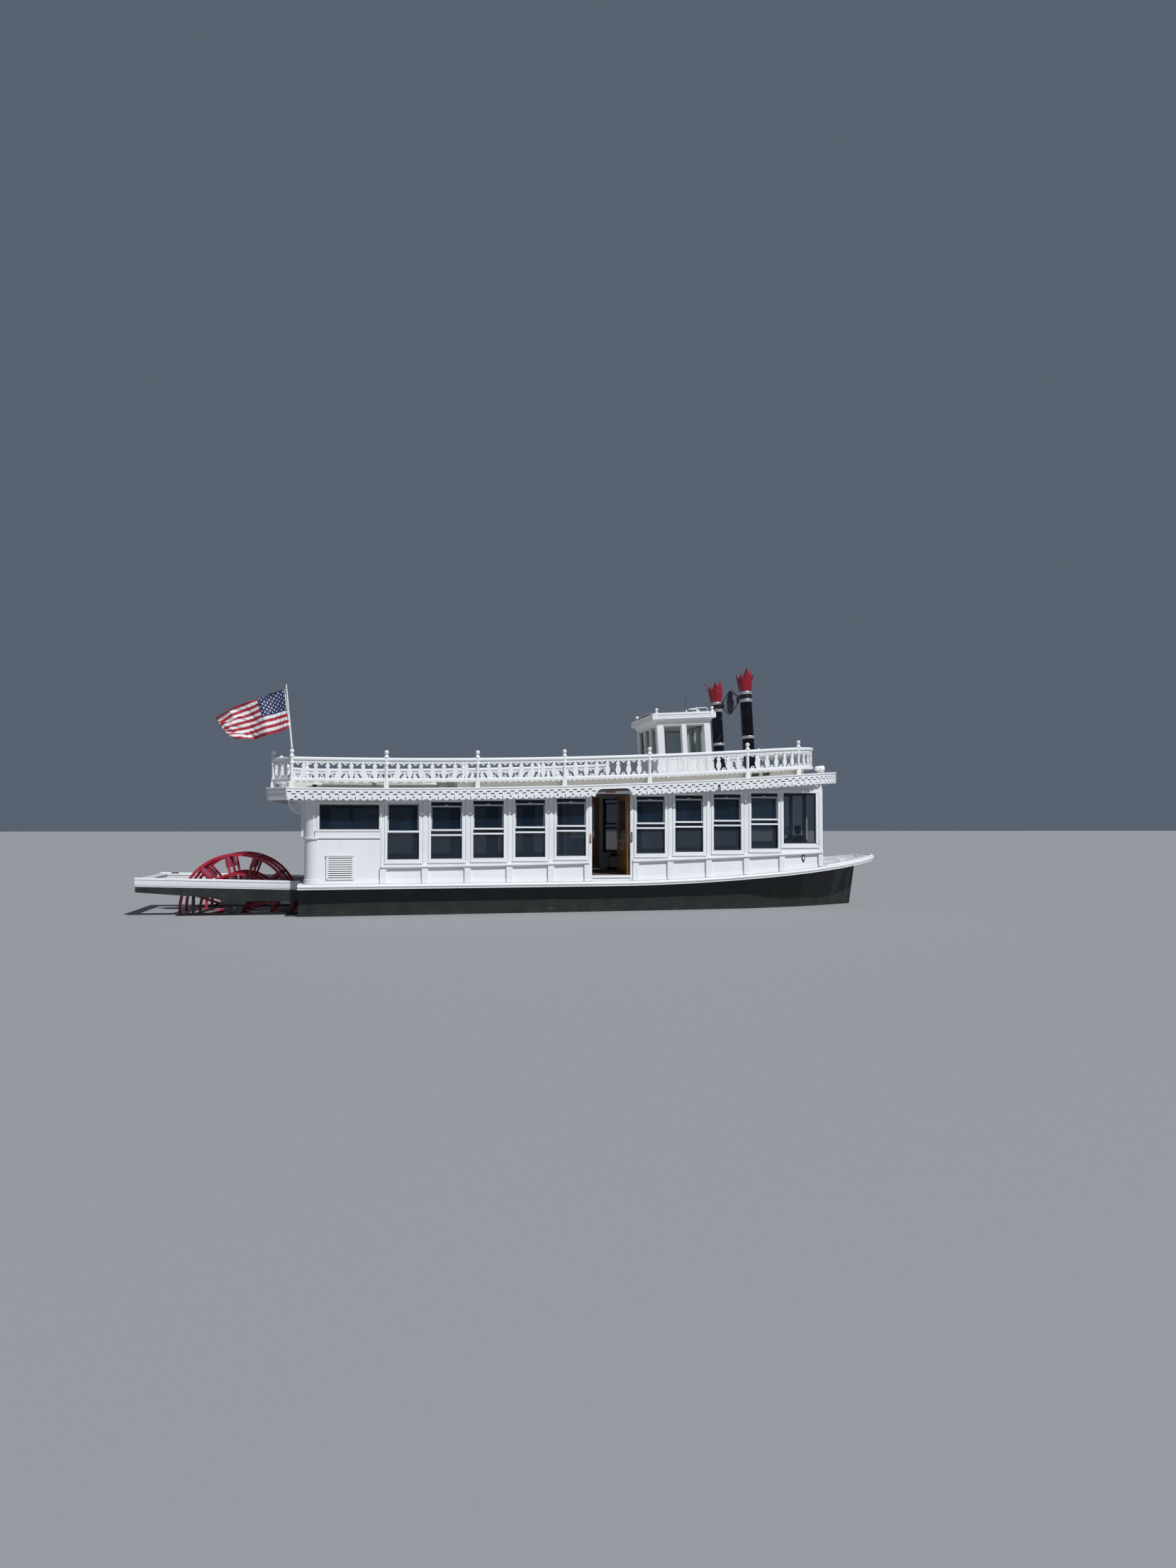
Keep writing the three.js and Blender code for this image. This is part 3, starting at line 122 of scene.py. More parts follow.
class Shape:
    """Points and faces gathered before they become one mesh. A tone is a face's place in the materials."""

    def __init__(self):
        self.points = []
        self.faces = []
        self.tones = []
        self.count = 0

    def add(self, points, faces, tone=0):
        points = np.asarray(points, float).reshape(-1, 3)
        self.points.append(points)
        self.faces += [tuple(i + self.count for i in face) for face in faces]
        self.tones += [tone] * len(faces)
        self.count += len(points)
        return self

    def box(self, x, y, z, tone=0, place=None):
        """A box between pairs of limits, its corners moved by place(x, y, z) where that is given."""
        corners = np.array([(a, b, c) for c in z for b in y for a in x], float)
        if place:
            corners = place(*corners.T)
        faces = [(0, 2, 3, 1), (4, 5, 7, 6), (0, 1, 5, 4), (2, 6, 7, 3), (0, 4, 6, 2), (1, 3, 7, 5)]
        return self.add(corners, faces, tone)

    def loft(self, rings, loop=False, tone=0):
        """Rings of equal length joined in turn, with flat ends or, as a loop, back to the first."""
        rings = np.asarray(rings, float)
        n = rings.shape[1]
        spans = len(rings) if loop else len(rings) - 1
        faces = []
        for i in range(spans):
            a, b = i * n, (i + 1) % len(rings) * n
            faces += [(a + j, a + (j + 1) % n, b + (j + 1) % n, b + j) for j in range(n)]
        if not loop:
            end = (len(rings) - 1) * n
            faces += [tuple(range(n))[::-1], tuple(range(end, end + n))]
        return self.add(rings, faces, tone)

    def turned(self, rows, at=(0, 0, 0), segments=24, tone=0, aim=None):
        """A turned form from rows of (radius, height), upright at a point or aimed along a direction."""
        angles = full_turn(segments)
        circle = np.stack([np.cos(angles), np.sin(angles)], 1)
        rings = np.array([np.column_stack([r * circle, np.full(segments, h)]) for r, h in rows])
        if aim is not None:
            turn = np.array(Vector((0, 0, 1)).rotation_difference(Vector(aim)).to_matrix())
            rings = rings @ turn.T
        return self.loft(rings + np.array(at, float), tone=tone)

    def tube(self, path, radius, sides=10, tone=0):
        """A round bar along a list of points."""
        path = np.asarray(path, float)
        tangents = np.gradient(path, axis=0)
        tangents /= np.linalg.norm(tangents, axis=1)[:, None]
        up = np.array([0, 0, 1.0]) if abs(tangents[0][2]) < 0.9 else np.array([1.0, 0, 0])
        side = np.cross(tangents[0], up)
        rings = []
        angles = full_turn(sides)
        for point, tangent in zip(path, tangents):
            side = side - tangent * (side @ tangent)
            side /= np.linalg.norm(side)
            other = np.cross(tangent, side)
            ring = point + radius * (np.outer(np.cos(angles), side) + np.outer(np.sin(angles), other))
            rings.append(ring)
        return self.loft(rings, tone=tone)

    def sweep(self, track, start, end, section, level, tone=0, step=0.12):
        """A section of (out, up) points carried along a track above a level."""
        stops = np.linspace(start, end, max(2, int(round((end - start) / step)) + 1))
        corners = [s for s in track.corners if start + 0.002 < s < end - 0.002]
        stops = np.unique(np.concatenate([stops, corners]))
        section = np.asarray(section, float)
        rings = []
        for s in stops:
            along = np.full(len(section), s)
            rings.append(track.place(along, section[:, 1], section[:, 0], level))
        return self.loft(rings, tone=tone)

    def mirrored(self):
        """The same shape with its copy on the other side of the boat."""
        tones = self.tones * 2
        self.add(np.concatenate(self.points) * (1, -1, 1), [face[::-1] for face in self.faces])
        self.tones = tones
        return self

    def moved(self, place):
        """The same shape with its points moved by place(x, y, z)."""
        self.points = [place(*np.concatenate(self.points).T)]
        return self

    def take(self, other):
        """Adds all of another shape, in its own tones."""
        self.add(np.concatenate(other.points), other.faces)
        self.tones[-len(other.tones):] = other.tones
        return self

    def piece(self, name, body, materials, slot, bevel=0.0, smooth=35, weld=0.0):
        """The mesh as an object that rides on a body."""
        mesh = bpy.data.meshes.new(name)
        mesh.from_pydata(np.concatenate(self.points).tolist(), [], self.faces)
        for material in materials:
            mesh.materials.append(material)
        mesh.polygons.foreach_set("material_index", self.tones)
        editor = bmesh.new()
        editor.from_mesh(mesh)
        if weld:
            bmesh.ops.remove_doubles(editor, verts=editor.verts, dist=weld)
        bmesh.ops.recalc_face_normals(editor, faces=editor.faces)
        editor.to_mesh(mesh)
        editor.free()
        mesh.shade_smooth()
        mesh.set_sharp_from_angle(angle=math.radians(smooth))
        obj = bpy.data.objects.new(name, mesh)
        bpy.context.scene.collection.objects.link(obj)
        if bevel:
            ease(obj, bevel, smooth)
        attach(obj, body)
        return obj


class Track:
    """A line in plan, followed from aft to the bow on the starboard side, measured by its length."""

    def __init__(self, points, step=0.02):
        fine, corners, total = [], [], 0.0
        for a, b in zip(points[:-1], points[1:]):
            a, b = np.array(a, float), np.array(b, float)
            length = float(np.hypot(*(b - a)))
            cuts = max(1, int(math.ceil(length / step)))
            fine += [a + (b - a) * k / cuts for k in range(cuts)]
            corners.append(total)
            total += length
        fine.append(np.array(points[-1], float))
        self.xy = np.array(fine)
        steps = np.diff(self.xy, axis=0)
        lengths = np.hypot(*steps.T)
        self.s = np.concatenate([[0], np.cumsum(lengths)])
        self.length = float(self.s[-1])
        self.corners = corners
        flat = np.stack([steps[:, 1], -steps[:, 0]], 1) / lengths[:, None]
        before = np.concatenate([flat[:1], flat])
        after = np.concatenate([flat, flat[-1:]])
        self.normals = (before + after) / (1 + np.sum(before * after, axis=1))[:, None]

    def place(self, along, up, out, level):
        """Points from a distance along, a height above level(x) and a distance outboard."""
        x = np.interp(along, self.s, self.xy[:, 0])
        y = np.interp(along, self.s, self.xy[:, 1])
        nx = np.interp(along, self.s, self.normals[:, 0])
        ny = np.interp(along, self.s, self.normals[:, 1])
        return np.stack([x + out * nx, y + out * ny, level(x) + up], 1)

    def where(self, x):
        """The distance along at which the line's side passes x."""
        side = self.xy[:, 1] < -0.05
        return float(np.interp(x, self.xy[side, 0], self.s[side]))


def roof_track(offset, arc_x, chamfer_x, aft_x, aft_half):
    """The starboard half of a roof-level outline, from the middle of its aft edge to the nose."""
    radius = wall_half(arc_x) + offset
    points = [(aft_x, 0), (aft_x, -aft_half), (chamfer_x, -wall_half(chamfer_x) - offset)]
    angles = np.linspace(0, ARC_END, 40)
    points += [(arc_x + radius * math.sin(a), -radius * math.cos(a)) for a in angles]
    return Track(points)


EAVE_CHAMFER_X = -5.5
EAVE = roof_track(0.33, 5.65, EAVE_CHAMFER_X, -5.96, 2.15)
RAIL = roof_track(0.16, 5.19, -5.42, -5.85, 2.0)


def on_wall(x, out, z):
    """Points on the starboard wall from x, a distance outboard of its outer face, and z."""
    return np.stack([x, -(wall_half(x) + out), z + 0 * x], 1)


def arc(cx, cy, radius, start, end, steps):
    """Points of an arc in degrees, both ends included."""
    angles = np.radians(np.linspace(start, end, steps + 1))
    return [(cx + radius * math.cos(a), cy + radius * math.sin(a)) for a in angles]


def round_hole(cx, cy, radius, steps=10):
    return arc(cx, cy, radius, 0, 360 * (1 - 1 / steps), steps - 1)


def lining(x, z, side=0.022, foot=0.022, head=0.022):
    """The limits across and up of four strips just inside an opening."""
    (x0, x1), (z0, z1) = x, z
    return ((x0, x0 + side), z), ((x1 - side, x1), z), (x, (z0, z0 + foot)), (x, (z1 - head, z1))


def surround(x, z, wide):
    """The limits across and up of four boards round an opening."""
    (x0, x1), (z0, z1) = x, z
    over = (x0 - wide, x1 + wide)
    return ((x0 - wide, x0), z), ((x1, x1 + wide), z), (over, (z1, z1 + wide)), (over, (z0 - wide, z0))


def end_box(shape, face_x, outward, out, y, z, tone=0):
    """A box on an end wall, between two distances outward of its face."""
    shape.box(sorted((face_x + outward * out[0], face_x + outward * out[1])), y, z, tone)


def pierced(loops, half_thick, open_ends=None):
    """Points as (along, up, out) and faces of a flat plate with holes, from closed outlines.

    open_ends are two distances along, at which the end faces are left off so that plates join up.
    """
    curve = bpy.data.curves.new("outline", "CURVE")
    curve.dimensions = "2D"
    curve.fill_mode = "BOTH"
    curve.extrude = half_thick
    for loop in loops:
        spline = curve.splines.new("POLY")
        spline.points.add(len(loop) - 1)
        spline.points.foreach_set("co", [v for x, y in loop for v in (x, y, 0, 1)])
        spline.use_cyclic_u = True
    holder = bpy.data.objects.new("outline", curve)
    mesh = bpy.data.meshes.new_from_object(holder)
    editor = bmesh.new()
    editor.from_mesh(mesh)
    bmesh.ops.remove_doubles(editor, verts=editor.verts, dist=1e-5)
    bmesh.ops.recalc_face_normals(editor, faces=editor.faces)
    editor.verts.index_update()
    points = np.array([v.co[:] for v in editor.verts])
    faces = []
    for face in editor.faces:
        along = [v.co.x for v in face.verts]
        at_end = open_ends and any(max(abs(u - e) for u in along) < 1e-5 for e in open_ends)
        if not at_end:
            faces.append(tuple(v.index for v in face.verts))
    editor.free()
    bpy.data.objects.remove(holder)
    bpy.data.curves.remove(curve)
    bpy.data.meshes.remove(mesh)
    return points, faces


# Materials


class Finish:
    """A material with its node tree and short ways to add to it."""

    def __init__(self, name, color, roughness, metallic=0.0, **sockets):
        self.material = bpy.data.materials.new(name)
        self.material.use_nodes = True
        self.tree = self.material.node_tree
        self.shader = self.tree.nodes["Principled BSDF"]
        self.color = (*color, 1.0)
        self.set(Roughness=roughness, Metallic=metallic, **sockets)
        self.set(**{"Base Color": self.color})
        self.coords = self.node("ShaderNodeTexCoord").outputs["Object"]

    def set(self, **values):
        for name, value in values.items():
            self.shader.inputs[name.replace("_", " ")].default_value = value

    def join(self, socket, value):
        """Links an output to a socket, or sets the socket's value."""
        if isinstance(value, bpy.types.NodeSocket):
            self.tree.links.new(value, socket)
        else:
            socket.default_value = value

    def node(self, kind, **inputs):
        made = self.tree.nodes.new(kind)
        for name, value in inputs.items():
            self.join(made.inputs[name.replace("_", " ")], value)
        return made

    def math(self, operation, *values):
        made = self.tree.nodes.new("ShaderNodeMath")
        made.operation = operation
        for socket, value in zip(made.inputs, values):
            self.join(socket, value)
        return made.outputs[0]

    def noise(self, scale, stretch=(1, 1, 1), detail=4.0, coords=None):
        mapping = self.node("ShaderNodeMapping", Vector=coords or self.coords, Scale=stretch)
        made = self.node("ShaderNodeTexNoise", Vector=mapping.outputs[0], Scale=scale, Detail=detail)
        return made.outputs["Fac"]

    def ramp(self, value, low, high):
        """0 below low and 1 above high."""
        made = self.node("ShaderNodeMapRange", Value=value, From_Min=low, From_Max=high)
        return made.outputs[0]

    def mix(self, factor, a, b):
        made = self.tree.nodes.new("ShaderNodeMix")
        made.data_type = "RGBA"
        self.join(made.inputs[0], factor)
        for k, value in ((6, a), (7, b)):
            plain = not isinstance(value, bpy.types.NodeSocket)
            self.join(made.inputs[k], (*value[:3], 1.0) if plain else value)
        return made.outputs[2]

    def axes(self, coords=None):
        return self.node("ShaderNodeSeparateXYZ", Vector=coords or self.coords).outputs

    def paint(self, value, socket="Base Color"):
        self.tree.links.new(value, self.shader.inputs[socket])
        return self

    def bump(self, height, strength, distance):
        made = self.node("ShaderNodeBump", Height=height, Strength=strength, Distance=distance)
        self.tree.links.new(made.outputs[0], self.shader.inputs["Normal"])
        return self


def painted(name, color, roughness, grime, grime_share=0.25, streaks=True, orange_peel=0.15):
    """Brushed paint: faint mottling, streaks that run down, and an uneven gloss."""
    finish = Finish(name, color, roughness)
    mottle = finish.noise(1.7, detail=6.0)
    streak = finish.noise(9.0, (1, 1, 0.08)) if streaks else finish.noise(5.0)
    spots = finish.math("MULTIPLY", finish.ramp(mottle, 0.45, 0.75), finish.ramp(streak, 0.4, 0.75))
    dirt = finish.math("MULTIPLY", spots, grime_share)
    tint = finish.mix(finish.ramp(finish.noise(0.9), 0.3, 0.7), color, tuple(0.95 * c for c in color))
    finish.paint(finish.mix(dirt, tint, grime))
    gloss = finish.math("MULTIPLY_ADD", finish.noise(14.0), 0.22, roughness - 0.08)
    finish.paint(gloss, "Roughness")
    finish.bump(finish.noise(70.0, detail=2.0), orange_peel, 0.002)
    return finish


def deck_paint():
    """Non-slip white deck paint, scuffed grey where feet and lines go."""
    finish = painted("deck_paint", (0.75, 0.765, 0.77), 0.5, (0.33, 0.32, 0.29), 0.4, streaks=False)
    finish.bump(finish.noise(260.0, detail=2.0), 0.5, 0.002)
    return finish.material


def hull_paint():
    """Charcoal topsides, greener and stained towards the water, with pale scuffs."""
    finish = Finish("hull_paint", (0.011, 0.014, 0.015), 0.42, Specular_IOR_Level=0.35)
    z = finish.axes()[2]
    low = finish.ramp(z, 0.55, -0.05)
    stain = finish.math("MULTIPLY", low, finish.ramp(finish.noise(3.0, (1, 1, 0.5)), 0.3, 0.7))
    base = finish.mix(stain, finish.color, (0.026, 0.036, 0.028))
    scuff = finish.ramp(finish.noise(5.0, (0.5, 1, 6.0), 8.0), 0.66, 0.72)
    rubbed = finish.math("MULTIPLY", scuff, 0.35)
    finish.paint(finish.mix(rubbed, base, (0.15, 0.16, 0.155)))
    finish.paint(finish.math("MULTIPLY_ADD", finish.noise(6.0), 0.3, 0.3), "Roughness")
    finish.bump(finish.noise(40.0), 0.2, 0.003)
    return finish.material


# The platform's top line, its white band and where it starts
PLATFORM_X = -5.29
PLATFORM_TOP = 0.69
PLATFORM_SLOPE = 0.1 / 3.47
PLATFORM_BAND = 0.15


def platform_paint():
    """White along the top edge and charcoal below it, rubbed where the boat lies against fenders."""
    finish = Finish("platform_paint", (0.014, 0.018, 0.019), 0.42)
    x, _, z = finish.axes()[:3]
    top = finish.math("MULTIPLY_ADD", x, -PLATFORM_SLOPE, PLATFORM_TOP + PLATFORM_SLOPE * PLATFORM_X)
    below = finish.math("SUBTRACT", top, z)
    white = finish.math("LESS_THAN", below, PLATFORM_BAND)
    scuff = finish.ramp(finish.noise(4.0, (0.35, 1, 5.0), 8.0), 0.55, 0.66)
    marked = finish.mix(finish.math("MULTIPLY", scuff, 0.6), (0.76, 0.78, 0.79), (0.25, 0.27, 0.27))
    mottle = finish.ramp(finish.noise(2.2, (1, 1, 1.5), 8.0), 0.4, 0.7)
    dark = finish.mix(mottle, (0.01, 0.014, 0.015), (0.026, 0.032, 0.03))
    finish.paint(finish.mix(white, dark, marked))
    finish.bump(finish.noise(45.0), 0.2, 0.003)
    return finish.material


def crimson_paint(name, color, faded, chips):
    """Red gloss paint, faded in patches and chipped to dark metal."""
    finish = Finish(name, color, 0.34)
    sun = finish.ramp(finish.noise(3.5, detail=6.0), 0.35, 0.7)
    chipped = finish.math("MULTIPLY", finish.ramp(finish.noise(38.0, detail=6.0), 0.68, 0.71), chips)
    finish.paint(finish.mix(chipped, finish.mix(sun, color, faded), (0.05, 0.03, 0.03)))
    finish.paint(finish.math("MULTIPLY_ADD", finish.noise(12.0), 0.3, 0.22), "Roughness")
    finish.bump(finish.noise(60.0), 0.15, 0.002)
    return finish.material


def metal_paint(name, color, roughness, metallic=0.0, **sockets):
    """Painted or bare metal, lighter where it is worn."""
    finish = Finish(name, color, roughness, metallic, **sockets)
    worn = finish.math("MULTIPLY", finish.ramp(finish.noise(22.0, detail=8.0), 0.55, 0.75), 0.4)
    finish.paint(finish.mix(worn, color, tuple(min(1, 2.2 * c + 0.01) for c in color)))
    finish.paint(finish.math("MULTIPLY_ADD", finish.noise(9.0), 0.25, roughness - 0.1), "Roughness")
    finish.bump(finish.noise(80.0), 0.12, 0.002)
    return finish.material


def varnish():
    """Orange-brown varnished wood with its grain upright."""
    finish = Finish("varnish", (0.36, 0.13, 0.03), 0.16, Coat_Weight=0.6, Coat_Roughness=0.08)
    grain = finish.noise(30.0, (1, 1, 0.06), 8.0)
    rings = finish.noise(7.0, (1, 1, 0.12), 3.0)
    figure = finish.math("MULTIPLY_ADD", rings, 0.6, finish.math("MULTIPLY", grain, 0.4))
    finish.paint(finish.mix(finish.ramp(figure, 0.35, 0.65), (0.6, 0.27, 0.07), (0.27, 0.095, 0.028)))
    finish.bump(grain, 0.12, 0.001)
    return finish.material


def planked(name, light, dark, pitch, roughness=0.5):
    """Boards that run fore and aft, each its own shade, with dark seams."""
    finish = Finish(name, light, roughness)
    board = finish.math("DIVIDE", finish.axes()[1], pitch)
    number = finish.node("ShaderNodeCombineXYZ", X=finish.math("FLOOR", board)).outputs[0]
    shade = finish.node("ShaderNodeTexWhiteNoise", Vector=number).outputs[0]
    tone = finish.math("MULTIPLY_ADD", finish.noise(16.0, (0.08, 1, 1), 6.0), 0.7,
                       finish.math("MULTIPLY", shade, 0.3))
    seam = finish.math("LESS_THAN", finish.math("FRACT", board), 0.04)
    finish.paint(finish.mix(seam, finish.mix(tone, light, dark), (0.02, 0.018, 0.015)))
    finish.bump(finish.math("SUBTRACT", tone, seam), 0.3, 0.003)
    return finish.material


def glass(name, tint, alpha, clearer=None):
    """Clear glass over a dim inside: its dark base colour is painted shade of the inside, and it is partly
    seen through.

    clearer is an x and the alpha that the glass has forward of it.
    """
    finish = Finish(name, tint, 0.03, Alpha=alpha, IOR=1.5, Specular_IOR_Level=0.6)
    if clearer:
        forward = finish.ramp(finish.axes()[0], clearer[0], clearer[0] + 0.02)
        finish.paint(finish.math("MULTIPLY_ADD", forward, clearer[1] - alpha, alpha), "Alpha")
    smear = finish.ramp(finish.noise(3.0, (1, 1, 0.4), 6.0), 0.45, 0.8)
    finish.paint(finish.math("MULTIPLY_ADD", smear, 0.06, 0.02), "Roughness")
    finish.paint(finish.mix(smear, tint, tuple(1.6 * c + 0.004 for c in tint)))
    return finish.material


def vinyl():
    finish = Finish("seat_vinyl", (0.16, 0.035, 0.035), 0.45)
    cells = finish.node("ShaderNodeTexVoronoi", Vector=finish.coords, Scale=180.0).outputs["Distance"]
    worn = finish.ramp(finish.noise(5.0), 0.35, 0.7)
    finish.paint(finish.mix(worn, (0.17, 0.035, 0.035), (0.11, 0.025, 0.025)))
    finish.bump(cells, 0.25, 0.001)
    return finish.material


WHITE = painted("white_paint", (0.82, 0.835, 0.85), 0.38, (0.5, 0.49, 0.44)).material
CREAM = painted("cream_paint", (0.82, 0.8, 0.73), 0.5, (0.54, 0.51, 0.44), 0.35).material
DECK = deck_paint()
HULL = hull_paint()
PLATFORM = platform_paint()
CRIMSON = crimson_paint("crimson_paint", (0.22, 0.003, 0.014), (0.3, 0.01, 0.03), 0.0)
WHEEL_RED = crimson_paint("wheel_red", (0.4, 0.008, 0.03), (0.46, 0.03, 0.06), 0.8)
BUCKET_PINK = crimson_paint("bucket_mauve", (0.3, 0.07, 0.13), (0.42, 0.15, 0.22), 0.5)
NAVY = metal_paint("stack_navy", (0.002, 0.0025, 0.007), 0.24, Specular_IOR_Level=0.3)
SILVER = metal_paint("silver_band", (0.5, 0.51, 0.52), 0.35, 0.6)
BLACK = metal_paint("black_iron", (0.006, 0.006, 0.008), 0.42)
STEEL = metal_paint("bright_steel", (0.55, 0.56, 0.57), 0.28, 0.9)
BRASS = metal_paint("worn_brass", (0.42, 0.27, 0.1), 0.35, 0.8)
ENGINE = metal_paint("engine_metal", (0.2, 0.21, 0.22), 0.5, 0.4)
CONSOLE = metal_paint("console_black", (0.02, 0.02, 0.024), 0.45)
RED_PLATE = painted("red_plate", (0.42, 0.02, 0.03), 0.4, (0.2, 0.02, 0.02)).material
# Grey boards: the aft bulkhead, and the coaming's aft field, where the grey is partly painted shade
GREY_AND_SHADE_BOARD = painted("grey_board_and_painted_shade", (0.45, 0.44, 0.4), 0.6, (0.27, 0.26, 0.24), 0.5).material
DARK_FRAME = painted("dark_frame", (0.035, 0.033, 0.032), 0.45, (0.02, 0.02, 0.02)).material
SASH_GREY = painted("sash_grey", (0.52, 0.54, 0.55), 0.45, (0.3, 0.3, 0.28)).material
VARNISH = varnish()
FLOOR = planked("floor_board", (0.2, 0.17, 0.14), (0.11, 0.09, 0.075), 0.11)
VINYL = vinyl()
PIPING = painted("seat_piping", (0.07, 0.02, 0.02), 0.5, (0.04, 0.015, 0.015)).material
# The dark tints of the cabin's glass are painted shade of the dim inside
GLASS = glass("window_glass", (0.007, 0.018, 0.034), 0.55)
FORWARD_GLASS = glass("forward_glass", (0.007, 0.018, 0.034), 0.55, (5.75, 0.26))
HOUSE_GLASS = glass("house_glass", (0.05, 0.07, 0.065), 0.2)


# Eave fretwork

FRET_PITCH = 0.35
FRET_HALF_THICK = 0.011
FRET_OUT = 0.013
SLIT_HALF = 0.011
SLIT_TOP = 0.08
DASH = (0.082, 0.024)
DASH_ROWS = (0.177, 0.13)
PENDANT_R = 0.075
BROKEN_X = 3.97
ARCH_HALF = 0.422
ARCH_SHOULDER = 0.15
ARCH_TOP = 0.168


def dash(u, v):
    long, high = DASH[0] / 2, DASH[1] / 2
    return [(u - long, v - high), (u + long, v - high), (u + long, v + high), (u - long, v + high)]


def fret_unit(w, broken=False):
    """One unit of the fascia from slit to slit: a round pendant between two teeth, under rows of dashes."""
    c = w / 2
    outline = [(0, SLIT_TOP), (SLIT_HALF, SLIT_TOP), (SLIT_HALF, 0.006), (0.03, 0)]
    outline += arc(c, PENDANT_R, PENDANT_R, 208, 332, 10)
    if broken:
        outline += [(w - 0.072, 0.03), (w - 0.07, 0.15), (w - 0.004, 0.15), (w - 0.002, SLIT_TOP)]
    else:
        outline += [(w - 0.03, 0), (w - SLIT_HALF, 0.006), (w - SLIT_HALF, SLIT_TOP)]
    outline += [(w, SLIT_TOP), (w, FASCIA_HIGH), (0, FASCIA_HIGH)]
    loops = [outline, round_hole(c, 0.068, 0.025, 12)]
    for i, v in enumerate(DASH_ROWS):
        loops += [dash(w * (1 + 2 * i) / 8, v), dash(w * (5 + 2 * i) / 8, v)]
    if broken:
        loops.pop()
    return pierced(loops, FRET_HALF_THICK, (0, w))


def arch_board():
    """The fascia over a door: only its upper part stays, between two round shoulders."""
    w = 2 * ARCH_HALF
    turn = [math.radians(a) for a in range(0, 91, 10)]
    shoulder = [(ARCH_SHOULDER * (1 - math.cos(a)), ARCH_TOP * math.sin(a)) for a in turn]
    foot = SLIT_TOP / 4
    outline = [(0, foot)] + shoulder[1:] + [(w - u, v) for u, v in reversed(shoulder[1:])]
    return pierced([outline + [(w, foot), (w, FASCIA_HIGH), (0, FASCIA_HIGH)]], FRET_HALF_THICK)


def bays(start, end, pitch):
    """The starts of equal bays about a pitch wide, and their width."""
    count = max(1, round((end - start) / pitch))
    width = (end - start) / count
    return [start + k * width for k in range(count)], width


def lay_unit(shape, track, start, unit, level, out=0.0):
    """A unit's (along, up, out) points and its faces, laid on a track from a start."""
    points, faces = unit
    along, up, off = points.T
    shape.add(track.place(start + along, up, out + off, level), faces)


def eave_fascia():
    shape = Shape()
    chamfer, door, broken = (EAVE.where(x) for x in (EAVE_CHAMFER_X, DOOR_X, BROKEN_X))
    for start, end in ((chamfer, door - ARCH_HALF), (door + ARCH_HALF, EAVE.length)):
        starts, width = bays(start, end, FRET_PITCH)
        plain = fret_unit(width)
        for s in starts:
            cut = abs(s + width / 2 - broken) < width / 2
            lay_unit(shape, EAVE, s, fret_unit(width, True) if cut else plain, fascia_bottom, FRET_OUT)
    lay_unit(shape, EAVE, door - ARCH_HALF, arch_board(), fascia_bottom, FRET_OUT)
    # Plain boards round the stern, stepped at the middle
    board = [(0.002, 0), (0.018, 0), (0.018, 0.16), (0.03, 0.17), (0.03, 0.26), (0.002, 0.26)]
    shape.sweep(EAVE, 0, chamfer, board, fascia_bottom)
    # The cap all the way round
    cap = [(-0.03, 0.262), (-0.03, 0.238), (0.028, 0.238), (0.038, 0.243), (0.038, 0.268), (0.03, 0.274),
           (-0.02, 0.274)]
    shape.sweep(EAVE, 0, EAVE.length, cap, fascia_bottom)
    # A dark strip behind the dashes: painted shade, standing for the shaded space under the eave that shows
    # through them
    painted_shade_strip = [(-0.004, 0.106), (0.0012, 0.106), (0.0012, 0.236), (-0.004, 0.236)]
    shape.sweep(EAVE, chamfer + 0.02, EAVE.length, painted_shade_strip, fascia_bottom, 1)
    piece = shape.mirrored().piece("fascia_fretwork", "boat", [WHITE, DARK_FRAME], "white_paint", weld=1e-4)
    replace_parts(piece, "eave_fascia")


eave_fascia()


# Railing on the roof

BALUSTER_PITCH = 0.2475
# Height above the eave and half width of the sawn baluster
BALUSTER = [(0.2, 0.03), (0.222, 0.024), (0.25, 0.032), (0.285, 0.05), (0.33, 0.06), (0.375, 0.056),
            (0.415, 0.042), (0.452, 0.028), (0.462, 0.044), (0.508, 0.045), (0.512, 0.026), (0.6, 0.026)]
# Radius and height of the turned post above its square base, with its ball on top
POST = [(0.0, 0.13), (0.046, 0.13), (0.046, 0.225), (0.036, 0.235), (0.034, 0.27), (0.037, 0.4),
        (0.036, 0.505), (0.046, 0.515), (0.048, 0.535), (0.046, 0.552), (0.036, 0.56), (0.036, 0.66),
        (0.055, 0.668), (0.056, 0.68), (0.046, 0.7), (0.03, 0.722), (0.025, 0.738), (0.034, 0.747),
        (0.046, 0.764), (0.05, 0.785), (0.046, 0.806), (0.034, 0.822), (0.015, 0.833), (0.0, 0.835)]
POST_XS = (-5.42, -3.44, -1.46, 0.5, 2.49, 4.88)
FRONT_POST_X = 6.26


def baluster():
    right = [(w, v) for v, w in BALUSTER]
    left = [(-w, v) for v, w in reversed(BALUSTER)]
    return pierced([right + left], 0.012)


def foot_board(p):
    """Between two balusters: a strip on the lower rail with one round head and its hole."""
    c = p / 2
    outline = [(0.0, 0.2), (p, 0.2), (p, 0.222), (c + 0.055, 0.226)]
    outline += arc(c, 0.242, 0.043, -10, 190, 12)
    outline += [(c - 0.055, 0.226), (0.0, 0.222)]
    return pierced([outline, round_hole(c, 0.252, 0.016)], 0.009, (0, p))


def frieze(p):
    """Between two balusters under the top rail: a pierced drop between two lobes."""
    c = p / 2
    lobe = 0.25 * p
    edge = [(0.0, 0.572)] + arc(lobe, 0.56, 0.026, 180, 360, 8)
    edge += arc(c, 0.532, 0.036, 165, 375, 12)
    edge += arc(p - lobe, 0.56, 0.026, 180, 360, 8) + [(p, 0.572)]
    return pierced([edge + [(p, 0.603), (0.0, 0.603)], round_hole(c, 0.535, 0.014)], 0.009, (0, p))


